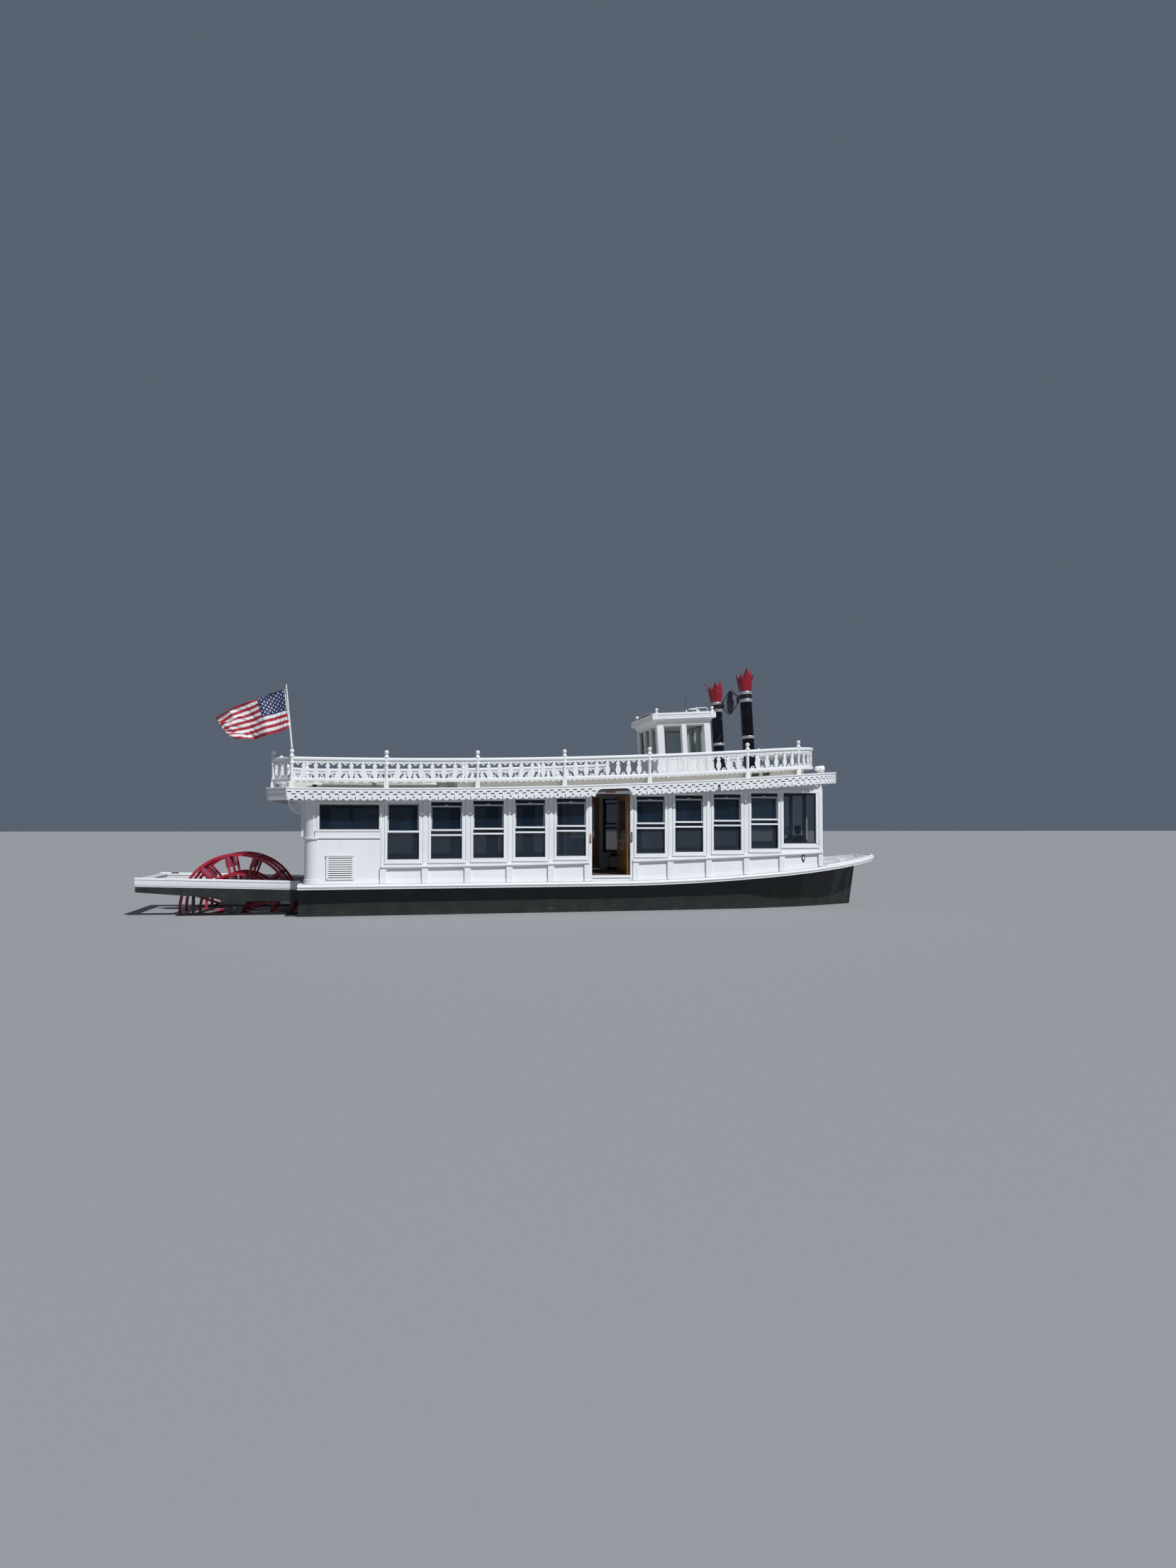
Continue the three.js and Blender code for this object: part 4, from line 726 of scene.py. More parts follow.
def roof_post(shape, x, y):
    at = (x, y, float(eave_top(x)))
    shape.box((x - 0.05, x + 0.05), (y - 0.05, y + 0.05), (at[2] - 0.004, at[2] + 0.138))
    shape.turned(POST, at, 24)


def roof_railing():
    shape = Shape()
    aft_corner = 2.0
    bow = RAIL.s > 8
    stops = [0.0, aft_corner] + [RAIL.where(x) for x in POST_XS]
    stops += [float(np.interp(FRONT_POST_X, RAIL.xy[bow, 0], RAIL.s[bow])), RAIL.length]
    for s in stops[1:-1]:
        x, y, _ = RAIL.place(np.array([s]), np.zeros(1), np.zeros(1), eave_top)[0]
        roof_post(shape, x, y)
    sawn = baluster()
    for a, b in zip(stops[:-1], stops[1:]):
        starts, width = bays(a, b, BALUSTER_PITCH)
        foot, drop = foot_board(width), frieze(width)
        for k, s in enumerate(starts):
            for unit in (foot, drop, sawn) if k else (foot, drop):
                lay_unit(shape, RAIL, s, unit, eave_top)
    low = [(-0.034, 0.142), (0.034, 0.142), (0.038, 0.15), (0.038, 0.196), (0.03, 0.206), (-0.03, 0.206),
           (-0.038, 0.196), (-0.038, 0.15)]
    grip = [(0.042 * math.cos(a), 0.632 + 0.036 * math.sin(a)) for a in np.radians(range(-20, 201, 20))]
    for section in (low, [(0.03, 0.6), *grip, (-0.03, 0.6)]):
        shape.sweep(RAIL, 0, RAIL.length, section, eave_top)
    shape.mirrored()
    roof_post(shape, -5.85, 0.0)
    piece = shape.piece("roof_railing", "boat", [WHITE], "white_paint", weld=1e-4)
    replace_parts(piece, "railing_starboard", "railing_port", "railing_front_starboard",
                "railing_front_port", "railing_aft")


roof_railing()


# Side walls

# Centre of each window, and how many bars cross it
WINDOWS = [(-3.07, 1)] + [(x, 2) for x in (-2.13, -1.2, -0.26, 0.68, 2.55, 3.48, 4.42, 5.35)]
WINDOW_HALF = 0.34
CASING = 0.058
BELT_DROP = 0.15
AFT_PANE = ((-4.85, -3.59), (1.87, 2.41))
HELM_PANE = ((5.83, 6.66), (1.53, 2.73))
PILASTERS = (-2.6, -1.665, -0.73, 0.21, 3.015, 3.95, 4.885)


def strip(shape, x, out, z, tone=0):
    shape.box(x, out, z, tone, on_wall)


def sloped(shape, x, out, low, high, tone=0, step=0.25):
    """A strip on the wall between two heights that follow x."""
    xs = np.linspace(x[0], x[1], max(2, int((x[1] - x[0]) / step) + 1))
    rings = [np.stack([np.full(4, v), -(wall_half(v) + np.array([out[0], out[1], out[1], out[0]])),
                       [low(v), low(v), high(v), high(v)]], 1) for v in xs]
    shape.loft(rings, tone=tone)


def casing(shape, x, z, wide=CASING, out=0.018):
    """Four boards around an opening, the head a little wider and prouder."""
    strip(shape, (x[0] - wide, x[0]), (0, out), z)
    strip(shape, (x[1], x[1] + wide), (0, out), z)
    strip(shape, (x[0] - wide - 0.012, x[1] + wide + 0.012), (0, out + 0.008), (z[1], z[1] + wide + 0.01))


def sill(shape, x, z):
    strip(shape, (x[0] - CASING, x[1] + CASING), (0, 0.018), (z - 0.062, z - 0.002))
    strip(shape, (x[0] - CASING - 0.02, x[1] + CASING + 0.02), (0, 0.032), (z - 0.088, z - 0.062))


def both_ends(x, wide):
    """The two end pieces of a span."""
    return (x[0], x[0] + wide), (x[1] - wide, x[1])


def window(white, grey, centre, bars):
    """Casing, sill, two sashes and the bars that cross the opening."""
    x = (centre - WINDOW_HALF, centre + WINDOW_HALF)
    low, head = window_bottom(centre), window_head(centre)
    casing(white, x, (low - 0.004, head))
    sill(white, x, low)
    # The lower sash fills the bottom opening, the upper one hangs a little below the head
    inner = (x[0] + 0.004, x[1] - 0.004)
    deep = (-0.052, -0.03)
    drop = 0.08 if bars == 2 else 0.0
    meeting = head - 0.6
    lower_top = head - (0.75 if bars == 2 else 0.65)
    for side in both_ends(inner, 0.012):
        strip(grey, side, deep, (low + 0.004, lower_top - 0.002), 1)
    for side in both_ends(inner, 0.024):
        strip(grey, side, (-0.055, -0.035), (meeting + 0.002, head - drop))
    strip(grey, inner, deep, (low + 0.004, low + 0.02), 1)
    strip(grey, inner, (-0.055, -0.03), (head - drop - 0.036, head - drop))
    if bars == 2:
        strip(grey, (centre - 0.035, centre + 0.035), (-0.05, -0.02), (head - drop, head - drop + 0.018))
        for side in both_ends(x, 0.02):
            strip(grey, side, (-0.02, 0.006), (meeting - 0.045, meeting + 0.005), 1)
            strip(grey, side, (-0.02, 0.006), (meeting - 0.155, meeting - 0.105), 1)
    over = (x[0] - 0.012, x[1] + 0.012)
    strip(white, over, (0.0, 0.014), (meeting - 0.036, meeting - 0.004))
    if bars == 2:
        strip(white, over, (0.0, 0.014), (meeting - 0.146, meeting - 0.114))


def side_walls():
    white, grey = Shape(), Shape()
    for centre, bars in WINDOWS:
        window(white, grey, centre, bars)

    def belt(x):
        return window_bottom(x) - BELT_DROP

    def under_eave(x):
        return fascia_bottom(x) - 0.02

    for x in PILASTERS:
        strip(white, (x - 0.046, x + 0.046), (0, 0.014), (float(belt(x)), float(under_eave(x))))
    # Pilasters beside the aft pane, at both sides of the door and at the helm pane
    for x0, x1 in ((-3.55, -3.482), (1.035, 1.085), (2.135, 2.145), (5.76, 5.8), (6.74, 6.81)):
        strip(white, (x0, x1), (0, 0.014), (float(belt(x0)), float(under_eave(x0))))
    # The belt's two ledges and the skirting, aft and forward of the doorway
    for x0, x1 in ((-3.55, 1.1), (2.12, 6.81)):
        sloped(white, (x0, x1), (0, 0.08), lambda x: belt(x) - 0.024, lambda x: belt(x) + 0.012)
        sloped(white, (x0, x1), (0, 0.06), lambda x: belt(x) + 0.012, lambda x: belt(x) + 0.026)
        sloped(white, (x0, x1), (0, 0.012), lambda x: deck_top(x) + 0.002, lambda x: deck_top(x) + 0.085)
    # Posts from the deck up to the belt
    for x in (-3.5, *PILASTERS, 1.05, 2.19, 5.78, 6.78):
        low = float(deck_top(x)) + 0.004
        strip(white, (x - 0.07, x + 0.07 if x < 6.7 else 6.81), (0, 0.05), (low, float(belt(x)) - 0.026))
    # The helm and aft panes, and the plain aft wall below its moulding
    casing(white, *HELM_PANE, wide=0.066)
    sill(white, HELM_PANE[0], HELM_PANE[1][0] - 0.014)
    casing(white, *AFT_PANE, wide=0.05)
    strip(white, (-4.94, -3.56), (0, 0.04), (1.83, 1.862))
    strip(white, (-4.94, -3.56), (0, 0.022), (1.7, 1.83))
    strip(white, (-4.94, -3.56), (0, 0.034), (1.682, 1.7))
    strip(white, (-4.9, -3.5), (0, 0.012), (0.702, 0.78))
    for pane in (HELM_PANE, AFT_PANE):
        for x, z in lining(*pane):
            strip(grey, x, (-0.055, -0.03), z, 1)
    # Door casings and jamb linings
    door = (DOOR_X - DOOR_HALF, DOOR_X + DOOR_HALF)
    for x in ((door[0] - 0.07, door[0]), (door[1], door[1] + 0.07)):
        strip(white, x, (0, 0.022), (0.72, 2.62))
    for x in ((door[0], door[0] + 0.01), (door[1] - 0.004, door[1])):
        strip(grey, x, (-0.014, 0.002), (SILL_Z, DOOR_TOP_Z), 1)
    strip(grey, door, (-0.014, 0.002), (DOOR_TOP_Z - 0.012, DOOR_TOP_Z), 1)
    white.mirrored().piece("wall_mouldings", "boat", [WHITE], "white_paint", bevel=0.003)
    grey.mirrored().piece("window_sashes", "boat", [SASH_GREY, DARK_FRAME], "white_paint", bevel=0.002)


side_walls()


# Flag

FLAG_HOIST = 0.86
FLAG_FLY = 1.63
FLAG_COLUMNS = 65
FLAG_ROWS = 39
STRIPES = 13
CANTON_COLUMNS = 26
CANTON_ROWS = 21
# The flag's outline in x and z as it flies, each edge from the pole outwards
FLAG_TOP = [(-5.574, 4.85), (-6.131, 4.632), (-6.59, 4.459), (-6.783, 4.341), (-6.98, 4.215)]
FLAG_FOOT = [(-5.46, 4.02), (-5.841, 3.888), (-6.073, 3.83), (-6.282, 3.784), (-6.65, 3.79)]
POLE_Y = -(wall_half(-5.42) + 0.16)


def along(line, shares):
    """Points at shares of a line's length."""
    line = np.array(line)
    s = np.concatenate([[0], np.cumsum(np.hypot(*np.diff(line, axis=0).T))])
    return np.stack([np.interp(shares * s[-1], s, line[:, k]) for k in range(2)], -1)


def flying_cloth():
    """The flag's grid of points: hung from the pole, waved, and relaxed to the length it was cut to."""
    rounds, grip, smoothing = 700, 0.12, 0.06
    u, v = np.meshgrid(np.linspace(0, 1, FLAG_COLUMNS + 1), np.linspace(0, 1, FLAG_ROWS + 1), indexing="ij")
    top, foot = along(FLAG_TOP, u[:, 0]), along(FLAG_FOOT, u[:, 0])
    flat = top[:, None] * (1 - v[..., None]) + foot[:, None] * v[..., None]
    depth = (0.045 + 0.075 * v) * np.minimum(1, 2.6 * u)
    ripple = 0.05 * u * np.sin(5.5 * v * u + 0.6)
    wave = depth * np.sin(2 * math.pi * (2.15 * u - 0.45 * v * u) + 0.4) + ripple
    fold = 0.09 * np.maximum(0, u - 0.55) * np.sin(2 * math.pi * 1.7 * v + 0.8)
    cloth = np.stack([flat[..., 0], POLE_Y + wave + fold, flat[..., 1]], -1)
    cloth[0, :, 1] = POLE_Y
    held, outline = cloth[0].copy(), cloth.copy()
    across, down = FLAG_FLY / FLAG_COLUMNS, FLAG_HOIST / FLAG_ROWS
    slope = math.hypot(across, down)
    links = []
    every, less, more = slice(None), slice(0, -1), slice(1, None)
    for start in (0, 1):
        near, far = slice(start, -1, 2), slice(start + 1, None, 2)
        links += [((near, every), (far, every), across), ((every, near), (every, far), down),
                  ((near, less), (far, more), slope), ((near, more), (far, less), slope)]
    for k in range(rounds):
        for a, b, length in links:
            first, second = cloth[a], cloth[b]
            n = min(first.shape[0], second.shape[0]), min(first.shape[1], second.shape[1])
            cut = (slice(0, n[0]), slice(0, n[1]))
            gap = second[cut] - first[cut]
            now = np.linalg.norm(gap, axis=-1, keepdims=True)
            shift = gap * (0.5 * (now - length) / now)
            first[cut] += shift
            second[cut] -= shift
        if k < rounds * 0.8:
            for edge in ((every, 0), (every, -1), (-1, every)):
                moved = outline[edge][..., (0, 2)] - cloth[edge][..., (0, 2)]
                cloth[edge + (0,)] += grip * moved[..., 0]
                cloth[edge + (2,)] += grip * moved[..., 1]
        inner = 0.25 * (cloth[:-2, 1:-1] + cloth[2:, 1:-1] + cloth[1:-1, :-2] + cloth[1:-1, 2:])
        cloth[1:-1, 1:-1] += smoothing * (inner - cloth[1:-1, 1:-1])
        cloth[0] = held
    return cloth


def on_cloth(cloth, u, v, out):
    """Points on the cloth at shares of its fly and hoist, lifted off its face."""
    i, j = u * FLAG_COLUMNS, v * FLAG_ROWS
    a, b = np.minimum(i.astype(int), FLAG_COLUMNS - 1), np.minimum(j.astype(int), FLAG_ROWS - 1)
    s, t = (i - a)[:, None], (j - b)[:, None]
    near = cloth[a, b] * (1 - s) + cloth[a + 1, b] * s
    far = cloth[a, b + 1] * (1 - s) + cloth[a + 1, b + 1] * s
    spot = near * (1 - t) + far * t
    face = np.cross(cloth[a + 1, b] - cloth[a, b], cloth[a, b + 1] - cloth[a, b])
    return spot + out * face / np.linalg.norm(face, axis=1)[:, None]


def cloth_paint(name, color):
    """Woven nylon: fine threads both ways and a soft sheen."""
    finish = Finish(name, color, 0.62, Sheen_Weight=0.3, Sheen_Roughness=0.4)
    uv = finish.node("ShaderNodeTexCoord").outputs["UV"]
    threads = [finish.math("SINE", finish.math("MULTIPLY", axis, rate))
               for axis, rate in zip(finish.axes(uv)[:2], (9000, 4700))]
    weave = finish.math("MULTIPLY", *threads)
    shade = finish.ramp(finish.noise(6.0), 0.3, 0.7)
    finish.paint(finish.mix(shade, color, tuple(0.86 * c for c in color)))
    finish.bump(finish.math("MULTIPLY_ADD", finish.noise(9.0), 1.5, weave), 0.12, 0.002)
    return finish.material


FLAG_RED = cloth_paint("flag_red", (0.4, 0.015, 0.03))
FLAG_WHITE = cloth_paint("flag_white", (0.8, 0.8, 0.82))
FLAG_BLUE = cloth_paint("flag_blue", (0.012, 0.022, 0.1))
FLAG_CANVAS = cloth_paint("flag_heading", (0.72, 0.71, 0.68))


def flag():
    cloth = flying_cloth()
    sheet = Shape()
    for i in range(FLAG_COLUMNS):
        for j in range(FLAG_ROWS):
            stripe = j * STRIPES // FLAG_ROWS % 2
            blue = i < CANTON_COLUMNS and j < CANTON_ROWS
            tone = 3 if i == 0 else 2 if blue else stripe
            a = i * (FLAG_ROWS + 1) + j
            sheet.faces.append((a, a + FLAG_ROWS + 1, a + FLAG_ROWS + 2, a + 1))
            sheet.tones.append(tone)
    sheet.points.append(cloth.reshape(-1, 3))
    paints = [FLAG_RED, FLAG_WHITE, FLAG_BLUE, FLAG_CANVAS]
    piece = sheet.piece("ensign", "boat", paints, "flag_cloth", smooth=180)
    layer = piece.data.uv_layers.new(name="cut")
    spots = [(i / FLAG_COLUMNS, j / FLAG_ROWS) for i in range(FLAG_COLUMNS + 1) for j in range(FLAG_ROWS + 1)]
    for loop in piece.data.loops:
        layer.data[loop.index].uv = spots[loop.vertex_index]
    # Fifty stars on each face, in nine rows of six and five
    stars = Shape()
    turn = np.arange(10) * math.pi / 5
    reach = np.where(np.arange(10) % 2, 0.38, 1.0) * 0.0616 * FLAG_HOIST / 2
    star_u, star_v = reach * np.sin(turn) / FLAG_FLY, -reach * np.cos(turn) / FLAG_HOIST
    share_u, share_v = CANTON_COLUMNS / FLAG_COLUMNS, CANTON_ROWS / FLAG_ROWS
    for row in range(9):
        for column in range(11):
            if (row + column) % 2:
                continue
            cu, cv = share_u * (column + 1) / 12, share_v * (row + 1) / 10
            for out in (0.0012, -0.0012):
                rim = on_cloth(cloth, cu + star_u, cv + star_v, out)
                stars.add(np.vstack([rim, on_cloth(cloth, np.array([cu]), np.array([cv]), out)]),
                          [(k, (k + 1) % 10, 10) for k in range(10)])
    star_piece = stars.piece("ensign_stars", "boat", [FLAG_WHITE], "flag_cloth", smooth=180)
    # Eyelets and the clips that hold the heading to the pole, in bright steel
    fittings = Shape()
    for v in (0.02, 0.5, 0.98):
        centre = on_cloth(cloth, np.array([0.006]), np.array([v]), 0.0)[0]
        x, y, z = centre
        ring = [(x + 0.013 * math.cos(t), y, z + 0.013 * math.sin(t))
                for t in np.linspace(0, 2 * math.pi, 17)]
        fittings.tube(ring, 0.003, 6)
        link = centre + [(0, 0, 0), (0.012, -0.012, 0.004), (0.03, -0.016, 0.004), (0.042, 0, 0)]
        fittings.tube(link, 0.0035, 6)
    fitting_piece = fittings.piece("ensign_clips", "boat", [STEEL], "black_iron")
    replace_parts(piece, "flag")


flag()


# Smokestacks, their crowns and the ornament between them

STACK_X = 5.15
STACK_Y = 1.25
STACK_Z = 2.95
STACK_R = 0.142
STACK_RAKE = math.radians(3.2)
STACK_TOP = 2.22
STACK_FOOT = 0.27
STACK_BANDS = [(1.086, 1.156), (1.963, 2.044), (2.147, 2.219)]
# For each stack, the turn of its first petal, and each petal's height and how far its tip leans out
CROWNS = {
    -1: (-88.9, [(0.552, 0.21), (0.5, 0.182), (0.42, 0.25), (0.48, 0.22), (0.45, 0.22), (0.43, 0.235),
                 (0.4, 0.215), (0.41, 0.2)]),
    1: (-103.4, [(0.515, 0.22), (0.55, 0.188), (0.43, 0.196), (0.45, 0.22), (0.43, 0.225), (0.43, 0.24),
                 (0.505, 0.262), (0.42, 0.235)]),
}


def raked(y):
    """Sets a form about the Z axis on its lean where a stack stands."""
    c, s = math.cos(STACK_RAKE), math.sin(STACK_RAKE)

    def place(x, across, z):
        return np.stack([STACK_X + x * c - z * s, y + across, STACK_Z + x * s + z * c], 1)

    return place


def stack(y):
    tube = Shape()
    rim, foot = STACK_TOP - 0.3, STACK_FOOT
    tube.turned([(0.105, rim), (0.13, rim), (0.13, STACK_TOP), (STACK_R - 0.003, STACK_TOP),
                 (STACK_R, STACK_TOP - 0.004), (STACK_R, foot)], segments=64)
    tube.turned([(0, STACK_TOP - 0.32), (0.13, STACK_TOP - 0.32), (0.13, rim), (0, rim)], segments=24)
    # A collar on the roof and its bolts
    tube.turned([(STACK_R, foot), (0.19, foot), (0.19, foot + 0.03), (0.16, foot + 0.036),
                 (STACK_R, foot + 0.07)], segments=48)
    for k in range(8):
        a = math.pi * (k + 0.5) / 4
        tube.turned([(0, 0.028), (0.011, 0.028), (0.011, 0.042), (0.004, 0.046), (0, 0.046)],
                    (0.173 * math.cos(a), 0.173 * math.sin(a), foot), 6)
    for low, high in STACK_BANDS:
        bulge = [(STACK_R + 0.0095 * math.sin(t) ** 0.6, low + (high - low) * (1 - math.cos(t)) / 2)
                 for t in np.linspace(0.001, math.pi - 0.001, 9)]
        tube.turned([(STACK_R - 0.004, low), *bulge, (STACK_R - 0.004, high)], segments=64, tone=1)
        # The joint of the band, with its screw
        tube.box((STACK_R + 0.004, STACK_R + 0.016), (-0.02, 0.02), (low + 0.015, high - 0.015), 1)
    return tube.moved(raked(y))


PETAL_SHOULDER = 0.46


def petal(angle, height, base, belly, tip, wide):
    """One petal: a cupped leaf with a pointed head, its edges drawn in above the middle."""
    rows, columns, thick = 15, 11, 0.006
    outer, inner = [], []
    for i in range(rows):
        t = i / (rows - 1)
        swell = math.sin(min(1, t / 0.55) * math.pi / 2)
        r = base + (belly - base) * swell + (tip - belly) * max(0, (t - 0.35) / 0.65) ** 1.5
        w = wide * (0.8 + 0.2 * math.sin(min(1, t / 0.5) * math.pi / 2))
        w *= 1 if t < PETAL_SHOULDER else 1 - ((t - PETAL_SHOULDER) / (1 - PETAL_SHOULDER)) ** 1.7
        w = max(w, 0.002)
        for row, gap in ((outer, 0.0), (inner, thick)):
            line = []
            for j in range(columns):
                s = 2 * j / (columns - 1) - 1
                turn = angle + s * w / r
                cup = r - gap - 0.014 * s * s * math.sin(math.pi * min(1, t * 0.9 + 0.1)) - 0.01 * abs(s) * t
                z = STACK_TOP + 0.002 + height * t - 0.01 * s * s * t
                line.append((cup * math.cos(turn), cup * math.sin(turn), z))
            row.append(line)
    return [a + b[::-1] for a, b in zip(outer, inner)]


def crown(y):
    leaves = Shape()
    leaves.turned([(0.128, STACK_TOP - 0.02), (0.139, STACK_TOP - 0.02), (0.144, STACK_TOP + 0.1),
                   (0.134, STACK_TOP + 0.1)], segments=48)
    turn, petals = CROWNS[1 if y > 0 else -1]
    for k, (height, tip) in enumerate(petals):
        angle = math.radians(turn + 360 / len(petals) * k)
        base = 0.15 if k % 2 else 0.142
        leaves.loft(petal(angle, height, base, base + 0.034, tip, 0.105))
    return leaves.moved(raked(y))


ORNAMENT_Z = 5.03
ORNAMENT_X = STACK_X - math.tan(STACK_RAKE) * (ORNAMENT_Z - STACK_Z)
SMALL_DISC_Y = 0.64
# Half of the rod's outline, from the small disc to the top: distance from the middle and rise
ROD = [(0.7, 0.072), (0.56, 0.108), (0.437, 0.152), (0.289, 0.216), (0.17, 0.262), (0.08, 0.28), (0.0, 0.284)]


def ornament():
    iron = Shape()
    for y, radius, dome in ((0.0, 0.27, 0.03), (-SMALL_DISC_Y, 0.1, 0.018), (SMALL_DISC_Y, 0.1, 0.018)):
        half = [(0, -dome), (radius * 0.35, -dome * 0.92), (radius * 0.7, -dome * 0.62),
                (radius - 0.014, -0.01), (radius, -0.01)]
        face = half + [(r, -h) for r, h in reversed(half)]
        iron.turned(face, (ORNAMENT_X, y, ORNAMENT_Z), 56, aim=(1, 0, 0))
    across, rise = np.array(ROD).T
    y = np.linspace(-across[0], across[0], 65)
    bow = np.interp(np.abs(y), across[::-1], rise[::-1])
    bow = np.convolve(np.pad(bow, 3, "edge"), np.ones(7) / 7, "valid")
    for side in (-1, 1):
        iron.tube(np.stack([np.full_like(y, ORNAMENT_X), y, ORNAMENT_Z + side * bow], 1), 0.0135, 12)
        iron.box((ORNAMENT_X - 0.012, ORNAMENT_X + 0.012), (-0.016, 0.016),
                 sorted((ORNAMENT_Z + side * 0.255, ORNAMENT_Z + side * 0.285)))
    # Straps from the small discs round the stacks
    for side in (-1, 1):
        for level in (-0.055, 0.055):
            strap = [(ORNAMENT_X, side * y, ORNAMENT_Z + level) for y in (SMALL_DISC_Y + 0.06, 1.12)]
            iron.tube(strap, 0.012, 10)
        shoe = [(STACK_R + out, z)
                for out, z in ((0.002, 2.046), (0.012, 2.05), (0.012, 2.14), (0.002, 2.144))]
        iron.take(Shape().turned(shoe, segments=48).moved(raked(side * STACK_Y)))
    # Bolt heads at the middle and round the rim of the large disc
    for k in range(9):
        a = 2 * math.pi * k / 8
        y0, z0 = (0, 0) if k == 8 else (0.225 * math.cos(a), 0.225 * math.sin(a))
        bolt = [(0, -0.028), (0.012, -0.026), (0.014, -0.016), (0.014, 0.016), (0.012, 0.026), (0, 0.028)]
        iron.turned(bolt, (ORNAMENT_X, y0, ORNAMENT_Z + z0), 12, aim=(1, 0, 0))
    return iron


# For each stack, where a stay leaves it and the point that it is made fast to
STAYS = {
    -1: [(15, (6.92, -0.5, float(eave_top(6.92)) + 0.172)), (120, (4.32, -0.4, 3.75))],
    1: [(15, (6.92, 0.5, float(eave_top(6.92)) + 0.172)),
        (-60, (6.0, -0.4, float(coaming_top(6.0)) + 0.004))],
}


def stays():
    """Thin wires from each stack forward to the front rail, and across to the roof and the wheelhouse."""
    wires = Shape()
    for side, ends in STAYS.items():
        place = raked(side * STACK_Y)
        for around, end in ends:
            a = math.radians(around)
            head = place(*(np.array([v]) for v in (0.146 * math.cos(a), 0.146 * math.sin(a), 1.78)))[0]
            wires.tube([head, head + (np.array(end) - head) * 0.5, end], 0.0025, 6)
            wires.turned([(0, -0.02), (0.008, -0.015), (0.009, 0.0), (0.008, 0.015), (0, 0.02)], head, 8)
            wires.turned([(0, -0.008), (0.018, -0.008), (0.018, 0.004), (0.007, 0.012), (0, 0.012)], end, 12)
    return wires


stacks, crowns = Shape(), Shape()
for side in (-1, 1):
    stacks.take(stack(side * STACK_Y))
    crowns.take(crown(side * STACK_Y))
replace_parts(stacks.piece("smokestacks", "boat", [NAVY, SILVER], "stack_navy"),
            "smokestack_starboard", "smokestack_port")
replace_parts(crowns.piece("stack_crowns", "boat", [CRIMSON], "crimson_paint", smooth=50),
            "stack_crown_starboard", "stack_crown_port")
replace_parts(ornament().piece("stack_ornament_work", "boat", [BLACK], "black_iron"), "stack_ornament")
stays().piece("stack_stays", "boat", [ENGINE], "black_iron")


# Wheelhouse

HOUSE_X = (2.96, 4.25)
HOUSE_HALF = 1.08
HOUSE_GLASS_Z = (3.66, 4.35)
HOUSE_POST_Z = (3.2, 4.372)
HOUSE_TILT = math.radians(3.2)
HOUSE_PIVOT = (3.605, 3.25)
HOUSE_END_PANES = ((-0.9, -0.38), (-0.26, 0.26), (0.38, 0.9))
HOUSE_CORNER = 0.03
# Heights of the roof's edge and of its skin where the camber starts
HOUSE_EDGE_Z = 4.634
HOUSE_SKIN_Z = 4.643


def on_house(x, y, z):
    c, s = math.cos(HOUSE_TILT), math.sin(HOUSE_TILT)
    dx, dz = x - HOUSE_PIVOT[0], z - HOUSE_PIVOT[1]
    return np.stack([HOUSE_PIVOT[0] + dx * c - dz * s, y + 0 * x, HOUSE_PIVOT[1] + dx * s + dz * c], 1)


def house_ring(out, z):
    """A round-cornered ring around the house in plan, a distance outside its walls."""
    x0, x1, half = HOUSE_X[0] - out, HOUSE_X[1] + out, HOUSE_HALF + out
    r = HOUSE_CORNER
    points = []
    for cx, cy, start in ((x1 - r, half - r, 0), (x0 + r, half - r, 90), (x0 + r, -half + r, 180),
                          (x1 - r, -half + r, 270)):
        points += [(x, y, z) for x, y in arc(cx, cy, r, start, start + 90, 4)]
    return points


def camber(y):
    """The rise of the roof above its edge."""
    return 0.09 * (1 - (y / (HOUSE_HALF + 0.13)) ** 2)


def house_crown(out, z):
    """The same ring with its height following the camber of the roof."""
    return [(x, y, z + camber(y)) for x, y, _ in house_ring(out, 0)]


def dress_wall(put, posts, width, panes):
    """Posts, sills and pane linings of one wall. put takes limits across, outward and up, and a tone."""
    z0 = HOUSE_GLASS_Z[0]
    for post in posts:
        put(post, (0, 0.014), HOUSE_POST_Z)
    put(width, (0, 0.032), (z0 - 0.045, z0 - 0.015))
    put(width, (0, 0.02), (z0 - 0.075, z0 - 0.045))
    for pane in panes:
        for across, z in lining(pane, HOUSE_GLASS_Z, foot=0.026, head=0.024):
            put(across, (-0.045, -0.018), z, 1)


